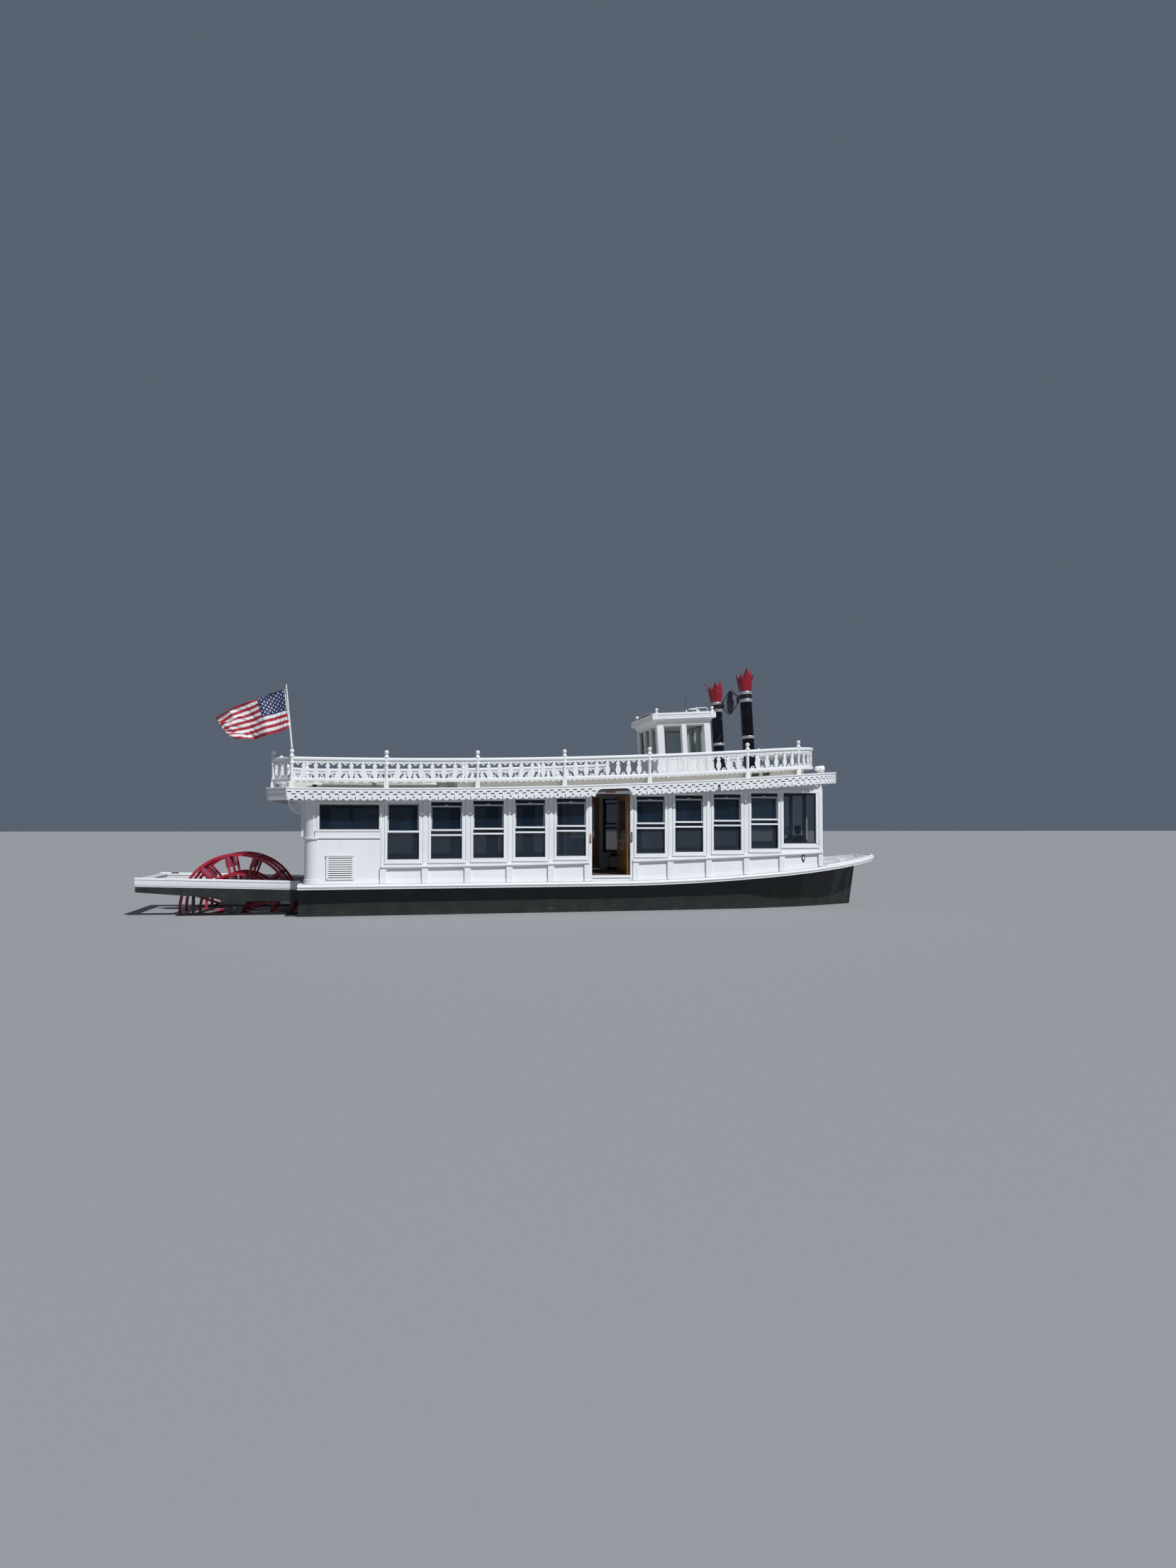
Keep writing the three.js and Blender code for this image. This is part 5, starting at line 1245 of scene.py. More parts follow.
def wheelhouse():
    white = Shape()
    # Cornice: frieze, cove, fascia with a long sunk panel, cap, and the cambered roof
    rows = [(0.0, 4.37), (0.014, 4.37), (0.016, 4.412), (0.034, 4.414), (0.038, 4.424)]
    rows += [(0.04 + 0.062 * (1 - math.cos(a)), 4.428 + 0.066 * math.sin(a))
             for a in np.linspace(0.1, math.pi / 2, 6)]
    rows += [(0.112, 4.496), (0.124, 4.502), (0.13, 4.512), (0.13, 4.532), (0.12, 4.535), (0.12, 4.556),
             (0.127, 4.56), (0.127, 4.576), (0.12, 4.58), (0.12, 4.596), (0.13, 4.6), (0.138, 4.607),
             (0.138, 4.622), (0.128, 4.632)]
    rings = [house_ring(out, z) for out, z in rows]
    rings += [house_crown(out, HOUSE_EDGE_Z + lift)
              for out, lift in ((0.118, 0.0), (0.1, 0.006), (0.06, 0.01))]
    white.loft(rings)
    # The roof skin over the middle follows the camber
    top = [(y, HOUSE_SKIN_Z + camber(y)) for y in np.linspace(-HOUSE_HALF - 0.055, HOUSE_HALF + 0.055, 25)]
    section = top + [(y, z - 0.02) for y, z in reversed(top)]
    white.loft([[(x, y, z) for y, z in section] for x in (HOUSE_X[0] - 0.055, HOUSE_X[1] + 0.055)])
    # Corner blocks that stop the sunk panels, each under a finial with a bell skirt, a neck and a ball
    finial = [(0, 0), (0.047, 0), (0.047, 0.012), (0.034, 0.022), (0.024, 0.04), (0.017, 0.056),
              (0.022, 0.062), (0.034, 0.074), (0.041, 0.094), (0.034, 0.116), (0.02, 0.129), (0, 0.133)]
    for x, out_x in zip(HOUSE_X, (-1, 1)):
        for out_y in (-1, 1):
            y = out_y * HOUSE_HALF
            white.box(sorted((x + out_x * 0.134, x - out_x * 0.005)),
                      sorted((y + out_y * 0.134, y - out_y * 0.005)), (4.506, 4.602))
            inset = 0.085 if out_x > 0 else 0.01
            white.turned(finial, (x + inset, y - out_y * 0.01, HOUSE_EDGE_Z + camber(y)), 28)
    middle = sum(HOUSE_X) / 2
    posts = ((HOUSE_X[0] - 0.004, HOUSE_X[0] + 0.142), (middle - 0.052, middle + 0.052),
             (HOUSE_X[1] - 0.142, HOUSE_X[1] + 0.004))
    panes = ((HOUSE_X[0] + 0.15, middle - 0.06), (middle + 0.06, HOUSE_X[1] - 0.15))
    for sign in (-1, 1):

        def on_side(x, out, z, tone=0):
            white.box(x, span(sign, HOUSE_HALF + out[0], HOUSE_HALF + out[1]), z, tone)

        dress_wall(on_side, posts, HOUSE_X, panes)
        for panel in ((HOUSE_X[0] + 0.19, middle - 0.1), (middle + 0.1, HOUSE_X[1] - 0.19)):
            for x, z in surround(panel, (3.26, 3.55), 0.02):
                on_side(x, (0, 0.01), z)
    posts = ((-1.084, -0.9), (-0.38, -0.26), (0.26, 0.38), (0.9, 1.084))
    for face_x, outward in zip(HOUSE_X, (-1, 1)):

        def on_end(y, out, z, tone=0):
            end_box(white, face_x, outward, out, y, z, tone)

        dress_wall(on_end, posts, (-HOUSE_HALF, HOUSE_HALF), HOUSE_END_PANES)
    white.moved(on_house)
    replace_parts(white.piece("wheelhouse_cornice", "boat", [WHITE, SASH_GREY], "white_paint", bevel=0.002),
                "wheelhouse_roof")
    # On the roof: twin horns, a low rail and a whip aerial
    top = HOUSE_SKIN_Z + camber(0.62)
    gear = Shape()
    bell = [(0.0, -0.06), (0.016, -0.06), (0.018, 0.06), (0.024, 0.1), (0.038, 0.13), (0.044, 0.135),
            (0.04, 0.137), (0.03, 0.12), (0.0, 0.09)]
    for y in (-0.66, -0.58):
        gear.turned(bell, (3.95, y, top + 0.055), 28, aim=(1, 0, 0.05))
        gear.box((3.9, 3.93), (y - 0.01, y + 0.01), (top - 0.01, top + 0.05), 1)
    rail = ((4.05, -0.005), (4.05, 0.06), (4.1, 0.075), (4.3, 0.075), (4.33, 0.06), (4.33, -0.01))
    gear.tube([(x, -0.7, top + up) for x, up in rail], 0.009, 10)
    gear.turned([(0, 0), (0.05, 0), (0.052, 0.03), (0.04, 0.05), (0, 0.055)], (4.18, -0.35, top + 0.005), 28)
    gear.tube([(3.82, -0.62, top - 0.01), (3.82, -0.62, top + 0.09), (3.81, -0.62, top + 0.5)], 0.003, 8, 1)
    gear.turned([(0, -0.01), (0.018, -0.01), (0.018, 0.02), (0.008, 0.05), (0, 0.05)], (3.82, -0.62, top), 16)
    gear.moved(on_house)
    gear.piece("wheelhouse_gear", "boat", [WHITE, BLACK], "white_paint")


wheelhouse()


# Paddle wheel

WHEEL_X = -6.72
WHEEL_Z = 0.1
WHEEL_R = 1.24
WHEEL_TURN = math.radians(10.7)
SPOKES = 12
FRAME_YS = (-0.92, 0.0, 0.92)


def on_wheel(k):
    """Places (radius, tangent, y) along the spoke of number k."""
    a = WHEEL_TURN + 2 * math.pi * k / SPOKES
    c, s = math.cos(a), math.sin(a)

    def place(r, t, y):
        return np.stack([WHEEL_X + r * c - t * s, y + 0 * r, WHEEL_Z + r * s + t * c], 1)

    return place


def paddle_wheel():
    red, boards = Shape(), Shape()
    turn = full_turn(96)
    hub = [(0.047, -0.04), (0.15, -0.04), (0.15, -0.02), (0.085, -0.018), (0.085, 0.018), (0.15, 0.02),
           (0.15, 0.04), (0.047, 0.04)]
    for y in FRAME_YS:
        for inner, outer in ((1.178, WHEEL_R), (0.745, 0.805)):
            section = ((inner, -0.02), (outer, -0.02), (outer, 0.02), (inner, 0.02))
            rings = [[(WHEEL_X + r * math.cos(a), y + across, WHEEL_Z + r * math.sin(a))
                      for r, across in section] for a in turn]
            red.loft(rings, loop=True)
        red.turned(hub, (WHEEL_X, y, WHEEL_Z), 40, aim=(0, 1, 0))
        for k in range(SPOKES):
            place = on_wheel(k)
            red.box((0.09, 1.2), (-0.026, 0.026), (y - 0.014, y + 0.014), 0, place)
            # Bolts at the hub and both rings
            for r in (0.125, 0.775, 1.208):
                for side in (-1, 1):
                    spot = place(np.array([r]), np.zeros(1), np.array([y + side * 0.014]))[0]
                    red.turned([(0, 0), (0.014, 0), (0.014, 0.008), (0.006, 0.012), (0, 0.012)], spot, 6, 1,
                               aim=(0, side, 0))
    for k in range(SPOKES):
        place = on_wheel(k)
        for low, high in ((0.935, 1.078), (1.084, 1.228)):
            boards.box((low, high), (0.03, 0.052), (-0.898, 0.898), 0, place)
    piece = red.piece("wheel_frames", "paddle_wheel", [WHEEL_RED, BLACK], "crimson_paint", bevel=0.002)
    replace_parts(piece, "wheel_frame_starboard", "wheel_frame_middle", "wheel_frame_port")
    boards.piece("bucket_boards", "paddle_wheel", [BUCKET_PINK], "crimson_paint", bevel=0.002)


paddle_wheel()


# Stern platform

PLATFORM_OUT = 1.55
PLATFORM_IN = 1.27
PLATFORM_AFT_X = -8.76


def platform_top(x):
    return PLATFORM_TOP - PLATFORM_SLOPE * (np.asarray(x, float) - PLATFORM_X)


def stern_platform():
    """The white cap and rubbing band along the platform, and the black ironwork below it."""
    white, iron = Shape(), Shape()
    xs = np.linspace(PLATFORM_AFT_X - 0.012, PLATFORM_X - 0.003, 15)
    # Sections as (distance outboard, height above the top line)
    cap = [(-0.296, -0.004), (0.018, -0.004), (0.026, 0.002), (0.028, 0.012), (0.024, 0.022), (0.012, 0.028),
           (-0.27, 0.028), (-0.288, 0.022), (-0.296, 0.01)]
    band = [(0.0, -0.128), (0.008, -0.126), (0.012, -0.118), (0.012, -0.004), (0.0, -0.004)]
    lip = [(-0.02, 0.028), (0.02, 0.024), (0.022, 0.034), (0.014, 0.046), (-0.008, 0.048), (-0.018, 0.04)]
    for section in (cap, band, lip):
        out, up = np.array(section).T
        white.loft([np.stack([0 * up + x, -(PLATFORM_OUT + out), platform_top(x) + up], 1) for x in xs])
    white.mirrored()
    # The end beam's cap
    end = [(0.0, 0.004), (-0.012, 0.004), (-0.014, 0.018), (-0.006, 0.03), (0.19, 0.028), (0.2, 0.018),
           (0.2, 0.004)]
    level = float(platform_top(PLATFORM_AFT_X)) - 0.01
    along, up = np.array(end).T
    white.loft([np.stack([PLATFORM_AFT_X + along, 0 * up + y, level + up], 1)
                for y in (-PLATFORM_IN, 0, PLATFORM_IN)])
    # Bolts through the band
    for x in np.arange(-8.6, -5.4, 0.64):
        for side in (-1, 1):
            spot = (x, side * (PLATFORM_OUT + 0.012), float(platform_top(x)) - 0.065)
            white.turned([(0, 0), (0.013, 0), (0.011, 0.005), (0, 0.007)], spot, 12, aim=(0, side, 0))
    white.piece("platform_caps", "boat", [WHITE], "white_paint", bevel=0.002)
    for side in (-1, 1):
        # Bracing from the wheel beam up to the bearing, and the bearing's cap, pads and bolts
        iron.tube([(x, side * 1.45, z) for x, z in ((-7.49, 0.045), (-7.1, 0.16), (-6.9, 0.215))], 0.022, 8)
        iron.box((-6.955, -6.475), span(side, 1.5, 1.516), (0.2, 0.228))
        iron.box((-6.86, -6.56), span(side, 1.5, 1.53), (0.032, 0.05))
        iron.turned([(0.0, 0.0), (0.075, 0.0), (0.075, 0.012), (0.06, 0.022), (0.06, 0.034), (0.0, 0.034)],
                    (-6.72, side * 1.5, 0.11), 28, aim=(0, side, 0))
        for x in (-6.92, -6.82, -6.62, -6.51):
            iron.turned([(0, 0), (0.013, 0), (0.013, 0.01), (0, 0.012)], (x, side * 1.516, 0.214), 6,
                        aim=(0, side, 0))
        # Flanges along the wheel beam, and feet of its post
        iron.box((-7.86, -5.3), span(side, 1.345, 1.545), (0.026, 0.038))
        iron.box((-7.64, -7.48), span(side, 1.38, 1.52), (0.036, 0.05))
        for x in np.arange(-7.7, -5.4, 0.46):
            iron.turned([(0, 0), (0.014, 0), (0.014, 0.01), (0, 0.012)], (x, side * 1.53, -0.02), 6,
                        aim=(0, side, 0))
    # A step on the end of the far beam
    step = float(platform_top(-8.42))
    iron.box((-8.5, -8.34), (1.33, 1.47), (step + 0.026, step + 0.05))
    iron.piece("wheel_ironwork", "boat", [BLACK], "black_iron", bevel=0.003)


stern_platform()


# Doors

DOOR_PIN = (DOOR_X + DOOR_HALF - 0.005, wall_half(DOOR_X + DOOR_HALF - 0.005) - 0.066)
LEAF_WIDE = 0.883
LEAF_Z = (0.838, 2.672)
LEAF_PANE = (1.638, 2.542)
LEAF_STILE = 0.13


def on_leaf(side, swing):
    """Places (distance from the pin along the leaf, distance out of its inner face, height)."""
    angle = side * (swing - math.atan(WALL_TAPER))
    c, s = math.cos(angle), math.sin(angle)

    def place(u, v, z):
        x, y = -0.005 - u, side * (0.006 + v)
        return np.stack([DOOR_PIN[0] + x * c - y * s, side * DOOR_PIN[1] + x * s + y * c, z + 0 * x], 1)

    return place


def door_trim(name, side, swing):
    """Mouldings, kick plates, handles and hinges on both faces of a leaf, and its pane."""
    place = on_leaf(side, swing)
    wood, pane = Shape(), Shape()
    u0, u1 = LEAF_STILE, LEAF_WIDE - LEAF_STILE
    low_z, high_z = LEAF_PANE
    for sign, base in ((1, 0.04), (-1, 0.0)):

        def off(a, b):
            """Limits at two distances out of this face of the leaf."""
            return sorted((base + sign * a, base + sign * b))

        # Bead around the pane
        for u, z in (((u0 - 0.022, u0), (low_z - 0.022, high_z + 0.022)),
                     ((u1, u1 + 0.022), (low_z - 0.022, high_z + 0.022)),
                     ((u0, u1), (low_z - 0.022, low_z)), ((u0, u1), (high_z, high_z + 0.022))):
            wood.box(u, off(0, 0.01), z, 0, place)
        # Two raised panels below the rail, each with a sloped border
        for low, high in ((0.98, 1.24), (1.3, 1.55)):
            rings = [[(u, base + sign * out, z) for u, z in
                      ((u0 - wide, low - tall), (u1 + wide, low - tall), (u1 + wide, high + tall),
                       (u0 - wide, high + tall))]
                     for out, wide, tall in ((0, 0.02, 0), (0.0035, 0.02, 0), (0.01, -0.03, -0.045))]
            wood.take(Shape().loft(rings).moved(place))
        # Brass kick plate, lock and lever handle
        wood.box((0.06, LEAF_WIDE - 0.06), off(0.001, 0.003), (LEAF_Z[0] + 0.02, LEAF_Z[0] + 0.11), 1, place)
        wood.box((LEAF_WIDE - 0.085, LEAF_WIDE - 0.045), off(0, 0.006), (1.68, 1.9), 1, place)
        lever = [(LEAF_WIDE - back, base + sign * out, z) for back, out, z in
                 ((0.065, 0.006, 1.8), (0.065, 0.036, 1.8), (0.085, 0.044, 1.8), (0.19, 0.042, 1.795))]
        wood.take(Shape().tube(lever, 0.008, 10, 1).moved(place))
    for z in (1.05, 1.75, 2.46):
        pin = [(0, -0.045), (0.0045, -0.045), (0.0045, 0.045), (0, 0.045)]
        wood.take(Shape().turned(pin, (0.0, 0.0, z), 12, 1).moved(place))
    wood.piece(name + "_trim", name, [VARNISH, BRASS], "varnished_wood", bevel=0.0015)
    pane.box((u0 - 0.004, u1 + 0.004), (0.017, 0.023), (low_z - 0.004, high_z + 0.004), 0, place)
    pane.piece(name + "_pane", name, [GLASS], "window_glass")


def doorways():
    """Thresholds, the blank red plate and the grab handles, on both sides of the boat."""
    fittings = Shape()
    x0, x1 = DOOR_X - DOOR_HALF, DOOR_X + DOOR_HALF
    strip(fittings, (x0 - 0.03, x1 + 0.03), (-0.012, 0.03), (SILL_Z - 0.055, SILL_Z - 0.002), 1)
    # The blank plate over the door, with its screws
    strip(fittings, (1.478, 1.708), (0.0, 0.007), (2.708, 2.763), 2)
    for x in (1.49, 1.696):
        fittings.turned([(0, 0), (0.005, 0), (0.004, 0.002), (0, 0.0025)],
                        (x, -(wall_half(x) + 0.007), 2.7355), 10, 3, aim=(0, -1, 0))
    # Vertical grab handles: black forward of the doorway, varnished aft of it
    for x, low, high, tone in ((2.092, 1.6, 1.79, 3), (1.128, 1.58, 1.75, 0)):
        root = wall_half(x) + 0.02
        path = [(x, -root, low), (x, -root - 0.035, low + 0.006), (x, -root - 0.045, low + 0.03),
                (x, -root - 0.045, high - 0.03), (x, -root - 0.035, high - 0.006), (x, -root, high)]
        fittings.tube(path, 0.011, 12, tone)
        for z in (low, high):
            fittings.turned([(0, -0.004), (0.022, -0.004), (0.02, 0.006), (0, 0.008)], (x, -root, z), 16,
                            tone, aim=(0, -1, 0))
    paints = [VARNISH, WHITE, RED_PLATE, BLACK]
    fittings.mirrored().piece("doorway_fittings", "boat", paints, "white_paint", bevel=0.0015)


door_trim("starboard_door", -1, math.pi / 2)
door_trim("port_door", 1, 0.0)
doorways()


# End walls, vents and brackets

FRONT_PANES = (-0.97, 0.0, 0.97)
FRONT_PANE_HALF = 0.41
FRONT_PANE_Z = (1.53, 2.73)
FRONT_POST_TOP = 2.85
AFT_CORNER_R = 0.25
AFT_CORNER_X = -4.92
FAN_R = 0.285
LOUVRE_GAPS = 10
LOUVRE_Z = 0.84
LOUVRE_PITCH = 0.0458
FAN_TOP = 2.488
FAN_FOOT = 1.72


def end_frame(shape, face_x, outward, y, z, wide, out, tone=0):
    """Four boards around an opening or a panel in an end wall."""
    for across, up in surround(y, z, wide):
        end_box(shape, face_x, outward, out, across, up, tone)


def front_wall():
    shape = Shape()
    half = wall_half(CABIN_FRONT_X)
    deck = float(deck_top(CABIN_FRONT_X))
    for y in FRONT_PANES:
        pane = (y - FRONT_PANE_HALF, y + FRONT_PANE_HALF)
        end_frame(shape, CABIN_FRONT_X, 1, pane, FRONT_PANE_Z, 0.05, (0, 0.018))
        end_box(shape, CABIN_FRONT_X, 1, (0, 0.045), (pane[0] - 0.07, pane[1] + 0.07), (1.45, 1.478), 1)
        inner = (pane[0] + 0.02, pane[1] - 0.02)
        inner_z = (FRONT_PANE_Z[0] + 0.02, FRONT_PANE_Z[1] - 0.02)
        end_frame(shape, CABIN_FRONT_X, -1, inner, inner_z, 0.02, (0.02, 0.05), 2)
        end_frame(shape, CABIN_FRONT_X, 1, inner, (deck + 0.14, 1.3), 0.035, (0, 0.014))
    end_box(shape, CABIN_FRONT_X, 1, (0, 0.034), (-half, half), (1.36, 1.385))
    end_box(shape, CABIN_FRONT_X, 1, (0, 0.016), (-half, half), (deck + 0.002, deck + 0.085))
    # Corner posts, rounded on their outer edge
    for side in (-1, 1):
        post_z = (deck + 0.004, FRONT_POST_TOP)
        end_box(shape, CABIN_FRONT_X, 1, (0, 0.02), span(side, half - 0.1, half + 0.012), post_z)
        corner = [(CABIN_FRONT_X + 0.004, side * (half - 0.002), z) for z in post_z]
        shape.tube(corner, 0.02, 14)
    return shape


def aft_wall():
    """Mouldings round the aft end of the cabin, with a framed access hatch between two panels."""
    shape = Shape()
    half = wall_half(WALL_AFT_X)
    corner = [(AFT_CORNER_X - AFT_CORNER_R * math.sin(a), -half + AFT_CORNER_R * (1 - math.cos(a)))
              for a in np.linspace(0, math.pi / 2, 12)]
    track = Track([(WALL_AFT_X + 0.02, -half), *corner, (CABIN_AFT_X, half - AFT_CORNER_R)], 0.04)
    skirting = [(-0.001, 0.0), (-0.014, 0.0), (-0.014, 0.1), (-0.006, 0.108), (-0.001, 0.108)]
    belt = [(-0.001, 1.664), (-0.034, 1.664), (-0.036, 1.67), (-0.034, 1.7), (-0.024, 1.703), (-0.001, 1.703)]
    for section in (np.array(skirting) + (0, 0.702), belt):
        shape.sweep(track, 0.0, track.length, section, np.zeros_like, step=0.2)
    for y in ((-1.85, -0.62), (0.62, 1.85)):
        for z in ((0.95, 1.52), (1.82, 2.36)):
            end_frame(shape, CABIN_AFT_X, -1, y, z, 0.04, (0, 0.014))
    end_frame(shape, CABIN_AFT_X, -1, (-0.38, 0.38), (0.86, 2.3), 0.06, (0, 0.022))
    end_box(shape, CABIN_AFT_X, -1, (0, 0.012), (-0.375, 0.375), (0.865, 2.295))
    for z in ((1.75, 2.18), (1.0, 1.6)):
        end_frame(shape, CABIN_AFT_X, -1, (-0.26, 0.26), z, 0.03, (0.012, 0.024))
    # Hinge pins and a handle
    for z in (1.05, 1.6, 2.15):
        shape.tube([(CABIN_AFT_X - 0.02, -0.385, z + up) for up in (-0.04, 0.04)], 0.009, 10, 1)
    grip = ((0.012, 1.62), (0.045, 1.64), (0.045, 1.76), (0.012, 1.78))
    shape.tube([(CABIN_AFT_X - out, 0.31, z) for out, z in grip], 0.009, 10, 1)
    return shape


def side_fittings():
    """The louvre's frame, the hawse on the bow quarter and the fan bracket under the aft eave."""
    shape = Shape()
    # Louvre: a cap board with ears, side boards and sloping slats, with black strips of painted shade in the
    # gaps between the slats
    strip(shape, (-4.715, -4.105), (0.022, 0.05), (1.3, 1.33))
    strip(shape, (-4.7, -4.12), (0.022, 0.036), (1.272, 1.3))
    for x in ((-4.7, -4.662), (-4.158, -4.12)):
        strip(shape, x, (0.022, 0.034), (0.8, 1.272))
    strip(shape, (-4.7, -4.12), (0.022, 0.034), (0.79, 0.82))
    for k in range(LOUVRE_GAPS):
        z = LOUVRE_Z + LOUVRE_PITCH * k
        # A black strip in the gap under each slat: painted shade
        strip(shape, (-4.652, -4.168), (0.02, 0.0245), (z - 0.009, z + 0.009), 1)
        out = np.array([0.0235, 0.0235, 0.034, 0.034])
        up = [z + 0.009, z + 0.034, z + 0.012, z + 0.008]
        shape.loft([np.stack([np.full(4, x), -(wall_half(x) + out), up], 1) for x in (-4.66, -4.16)])
    # A drop-shaped hawse on the bow quarter: a black ring round a white boss
    turn = full_turn(28)
    for scale, out, tone in ((1.0, (0, 0.016), 1), (0.5, (0.016, 0.02), 0)):
        x = 6.33 + scale * 0.044 * np.sin(turn) * np.where(np.cos(turn) < 0, 1 + 0.45 * np.cos(turn), 1)
        z = 1.2 + scale * np.where(np.cos(turn) > 0, 0.065, 0.115) * np.cos(turn)
        shape.loft([np.stack([x, -(wall_half(x) + o), z], 1) for o in out], tone=tone)
    # Fan bracket in the plane of the side, under the aft eave
    centre = (CABIN_AFT_X - 0.075, FAN_TOP)
    y = -(wall_half(WALL_AFT_X) - AFT_CORNER_R - 0.02)
    quarter = np.linspace(0, math.pi / 2, 17)
    inner, outer = ([(centre[0] - r * math.cos(a), centre[1] - r * math.sin(a)) for a in quarter]
                    for r in (FAN_R - 0.034, FAN_R))
    outline = outer + inner[::-1]
    rings = [[(x, y + off, z) for x, z in outline] for off in (-0.016, 0.016)]
    faces = []
    n = len(outline)
    for i in range(n // 2 - 1):
        j = n - 1 - i
        faces += [(i, i + 1, j - 1, j), (n + j, n + j - 1, n + i + 1, n + i)]
    faces += [(i, (i + 1) % n, n + (i + 1) % n, n + i) for i in range(n)]
    shape.add(rings, faces)
    for k in range(8):
        a = math.pi / 2 * (k + 0.5) / 8
        start, end = 0.05, FAN_R - 0.03
        c, s = math.cos(a), math.sin(a)
        corners = [(r * c + t * s, r * s - t * c)
                   for r, t in ((start, -0.005), (start, 0.005), (end, 0.009), (end, -0.009))]
        shape.loft([[(centre[0] - u, y + off, centre[1] - v) for u, v in corners] for off in (-0.008, 0.008)])
    hub = [(centre[0] - 0.06 * math.cos(a), centre[1] - 0.06 * math.sin(a))
           for a in np.linspace(0, math.pi / 2, 9)]
    shape.loft([[(x, y + off, z) for x, z in [centre, *hub]] for off in (-0.018, 0.018)])
    shape.box((centre[0], CABIN_AFT_X), (y - 0.022, y + 0.022), (FAN_FOOT, FAN_TOP))
    shape.box((centre[0] - FAN_R, CABIN_AFT_X), (y - 0.02, y + 0.02), (FAN_TOP - 0.004, FAN_TOP + 0.02))
    return shape.mirrored()


for end, name, paints in ((front_wall(), "front_wall_trim", [WHITE, CREAM, DARK_FRAME]),
                          (aft_wall(), "aft_wall_trim", [WHITE, STEEL]),
                          (side_fittings(), "side_fittings", [WHITE, BLACK])):
    end.piece(name, "boat", paints, "white_paint", bevel=0.002)


# Deck edge, cleats, coaming and searchlight


def caster(node):
    """Finds where a ray first meets one of the frame's own parts."""
    mesh = NODES[node].data
    tree = BVHTree.FromPolygons([v.co[:] for v in mesh.vertices], [p.vertices[:] for p in mesh.polygons])

    def cast(origin, aim):
        return tree.ray_cast(Vector(origin), Vector(aim))[0]

    return cast


def deck_line(drop):
    """The deck's starboard edge from the stern to the tip of the bow, a little below its top."""
    cast = caster("main_deck")
    stations = (-5.285, -4, -2.5, -1, 0.5, 2, 3.2, 4.2, *np.arange(5, 8.35, 0.3))
    tip = float(deck_top(8.5)) - drop
    points = [cast((x, -6, float(deck_top(x)) - drop), (0, 1, 0)) for x in stations]
    points += [cast((12, y, tip), (-1, 0, 0)) for y in np.linspace(-0.75, 0.0, 7)]
    return [(p.x, p.y) for p in points if p]


def deck_edge():
    guard, track = Shape(), Track(deck_line(0.06))
    half_round = [(-0.006, -0.075), (0.012, -0.073), (0.022, -0.062), (0.026, -0.045), (0.022, -0.028),
                  (0.012, -0.017), (-0.006, -0.015)]
    guard.sweep(track, 0.0, track.length, half_round, deck_top, step=0.3)
    # A raised edge round the foredeck
    lip = [(-0.07, -0.004), (-0.066, 0.018), (-0.056, 0.026), (-0.034, 0.026), (-0.024, 0.018),
           (-0.02, -0.004)]
    guard.sweep(track, track.where(6.95), track.length, lip, deck_top, step=0.2)
    return guard.mirrored()


def cleat(shape, x, y, long=0.26, high=0.055):
    """A horn cleat lying fore and aft."""
    z = float(deck_top(x))
    for end in (-1, 1):
        shape.tube([(x + end * long * 0.16, y, z), (x + end * long * 0.15, y, z + high)], high * 0.26, 12)
    horn = [(x + long * t, y, z + high * (1.02 + 0.3 * (2 * t) ** 2)) for t in np.linspace(-0.5, 0.5, 13)]
    shape.tube(horn, high * 0.22, 12)
    shape.box((x - long * 0.27, x + long * 0.27), (y - high * 0.5, y + high * 0.5), (z - 0.002, z + 0.012))


HATCH_X = 7.35


def foredeck_gear():
    """Four cleats, and the foredeck's hatch, bow roller and eye."""
    gear = Shape()
    for side in (-1, 1):
        cleat(gear, 7.64, side * 0.75)
        cleat(gear, -5.06, side * 2.2)
    # A flush hatch in the foredeck with its rim and lifting ring
    z = float(deck_top(HATCH_X))
    slope = float(deck_top(7.6) - deck_top(7.1)) / 0.5

    def on_deck(x, y, up):
        return np.stack([HATCH_X + x, y + 0 * x, z + slope * x + up], 1)

    for x, y in (((-0.27, -0.23), (-0.27, 0.27)), ((0.23, 0.27), (-0.27, 0.27)),
                 ((-0.23, 0.23), (-0.27, -0.23)), ((-0.23, 0.23), (0.23, 0.27))):
        gear.box(x, y, (-0.002, 0.012), 0, on_deck)
    gear.box((-0.22, 0.22), (-0.22, 0.22), (-0.002, 0.008), 0, on_deck)
    gear.box((0.1, 0.17), (-0.035, 0.035), (0.007, 0.011), 1, on_deck)
    # Bow roller and eye at the tip
    tip = float(deck_top(8.45))
    gear.box((8.3, 8.52), (-0.035, 0.035), (tip - 0.01, tip + 0.016), 1)
    eye = ((-0.028, 0.02), (-0.028, 0.075), (0.028, 0.075), (0.028, 0.02))
    gear.tube([(8.44, y, tip + up) for y, up in eye], 0.007, 10, 1)
    return gear


